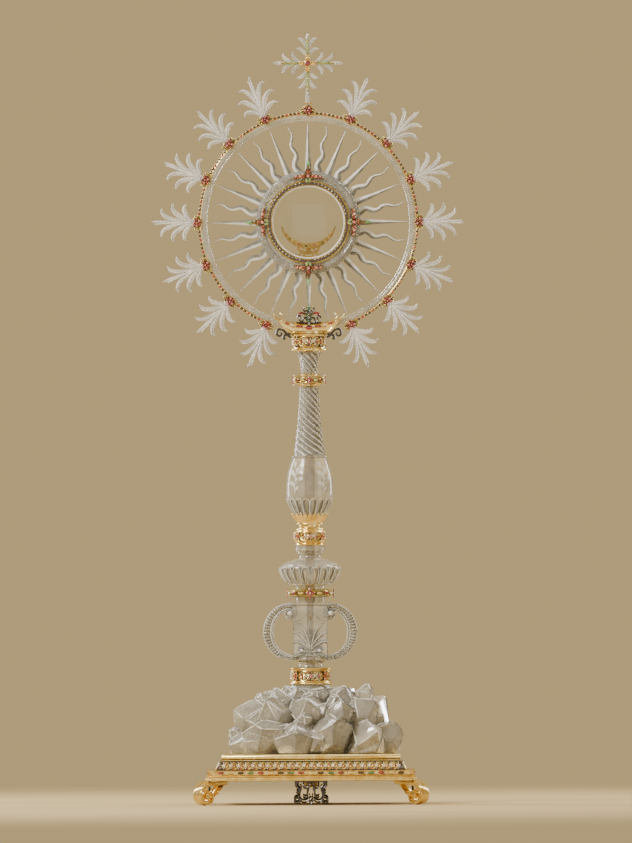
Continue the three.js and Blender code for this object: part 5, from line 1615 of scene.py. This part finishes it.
def turn_button():
    """The latch: a headed shaft with a tongue that hangs behind the door's rim."""
    shaft = [(0.4, 9.6), (2.3, 9.6), (2.6, 9.9), (2.6, 10.4), (2.3, 10.7), (1.25, 10.7), (1.25, 21.4),
             (0.4, 21.5)]
    tongue = strip([(0, 4.2), (0, 3.3), (0, 1.4), (0, -1), (0, -5), (0, -9.5), (0, -10.7), (0, -11.3)],
                   [0.5, 1.9, 2.6, 2.5, 2.0, 1.6, 1.2, 0.4], 0.85, BAND)
    solids = [close(ringed(shaft, 24, LATCH_X)), close(facing(tongue, x=LATCH_X, z=GLORY_Z, y=21.2))]
    piece("turn_button_turned_and_filed", solids, gilt, "gilt", ["turn_button"], "turn_button")


# ---- Everything, from the ground up ----

plinth()
feet()
pendants()
mound()
collar()
scroll_knop()
jewelled_rings()
gadrooned_knop()
jewelled_knop()
calyx_and_vase()
twisted_shafts()
capital()
glory_ring()
rays()
sprays()
rosettes()
top_cross()
cradle()
crest()
host_case()
lunula()
rear_door()
turn_button()

# Nodes that stay as the frame gives them: their finishes.
KEPT = {"hinge_pin": plain_brass, "tie_rod": plain_brass, "rod_nut": plain_brass}
for node, material in KEPT.items():
    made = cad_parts[node]
    made.data.materials.clear()
    made.data.materials.append(material)

# ---- Floor, light and camera ----

HEART = sum(np.array(corner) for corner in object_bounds()) / 2  # the middle of the object, in metres


def studio_floor():
    """A round pale floor that fades out into the plain colour of the room."""
    reach = 3.0
    mesh = bpy.data.meshes.new("studio_floor")
    rim = [(*point, 0.0) for point in around(96) * reach]
    mesh.from_pydata(rim, [], [tuple(range(len(rim)))])
    paper = finish("studio_floor_paper", "#cfb887", "#c8b07e", 400, (0.7, 0.8), 3.0, 0.01)
    tree = paper.node_tree
    place = add_node(tree, "ShaderNodeTexCoord", {}).outputs["Object"]
    out = add_node(tree, "ShaderNodeVectorMath", {0: place}, operation="LENGTH").outputs["Value"]
    fade = add_node(tree, "ShaderNodeMapRange", {"Value": out, "From Min": 0.4, "From Max": 2.4},
                    interpolation_type="SMOOTHSTEP").outputs["Result"]
    clear = add_node(tree, "ShaderNodeBsdfTransparent", {}).outputs[0]
    faded = add_node(tree, "ShaderNodeMixShader",
                     {0: fade, 1: tree.nodes["Principled BSDF"].outputs[0], 2: clear}).outputs[0]
    tree.links.new(faded, tree.nodes["Material Output"].inputs["Surface"])
    mesh.materials.append(paper)
    made = bpy.data.objects.new("studio_floor", mesh)
    bpy.context.scene.collection.objects.link(made)
    made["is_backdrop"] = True


def lamp(name, place, size, power, tint="#ffffff"):
    """A soft square lamp aimed at the middle of the object."""
    light = bpy.data.lights.new(name, "AREA")
    light.shape = "RECTANGLE"
    light.size, light.size_y = size
    light.energy = power
    light.color = linear(tint)[:3]
    made = bpy.data.objects.new(name, light)
    made.location = place
    made.rotation_euler = (Vector(HEART) - Vector(place)).to_track_quat("-Z", "Y").to_euler()
    made.visible_camera = False
    made.visible_transmission = False
    bpy.context.scene.collection.objects.link(made)
    made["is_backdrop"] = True


def studio():
    """Soft lamps round the object, hidden from the camera, in a warm plain room."""
    studio_floor()
    lamp("key_softbox", (-1.9, -1.7, 1.9), (1.0, 1.0), 96, "#fffaf2")
    lamp("fill_softbox", (2.6, -2.2, 0.7), (1.2, 2.2), 16)
    lamp("front_softbox", (0.0, -5.0, 0.9), (3.2, 3.2), 24)
    lamp("left_edge_strip", (-1.4, 1.0, 1.1), (0.35, 2.2), 34)
    lamp("right_edge_strip", (1.4, 1.0, 1.2), (0.35, 2.2), 26)
    lamp("overhead_softbox", (0.0, 0.2, 3.4), (3.0, 1.2), 22)
    world = bpy.data.worlds.new("soft_room")
    world.use_nodes = True
    sky = world.node_tree.nodes["Background"]
    sky.inputs["Color"].default_value = linear("#f6d697")
    sky.inputs["Strength"].default_value = 0.58
    bpy.context.scene.world = world


def camera():
    """A long lens, straight on, a little below the middle and a hair to the right."""
    lens = bpy.data.cameras.new("front_view")
    lens.sensor_fit = "VERTICAL"
    lens.sensor_height = 24.0
    lens.lens = 900.0
    distance = 37.935
    made = bpy.data.objects.new("front_view", lens)
    aside, lower, roll = 0.008, 0.0037, 0.28
    made.location = (HEART[0] + aside, -distance, HEART[2] - lower)
    made.rotation_euler = (math.pi / 2, math.radians(roll), 0)
    bpy.context.scene.collection.objects.link(made)
    bpy.context.scene.camera = made


studio()
camera()
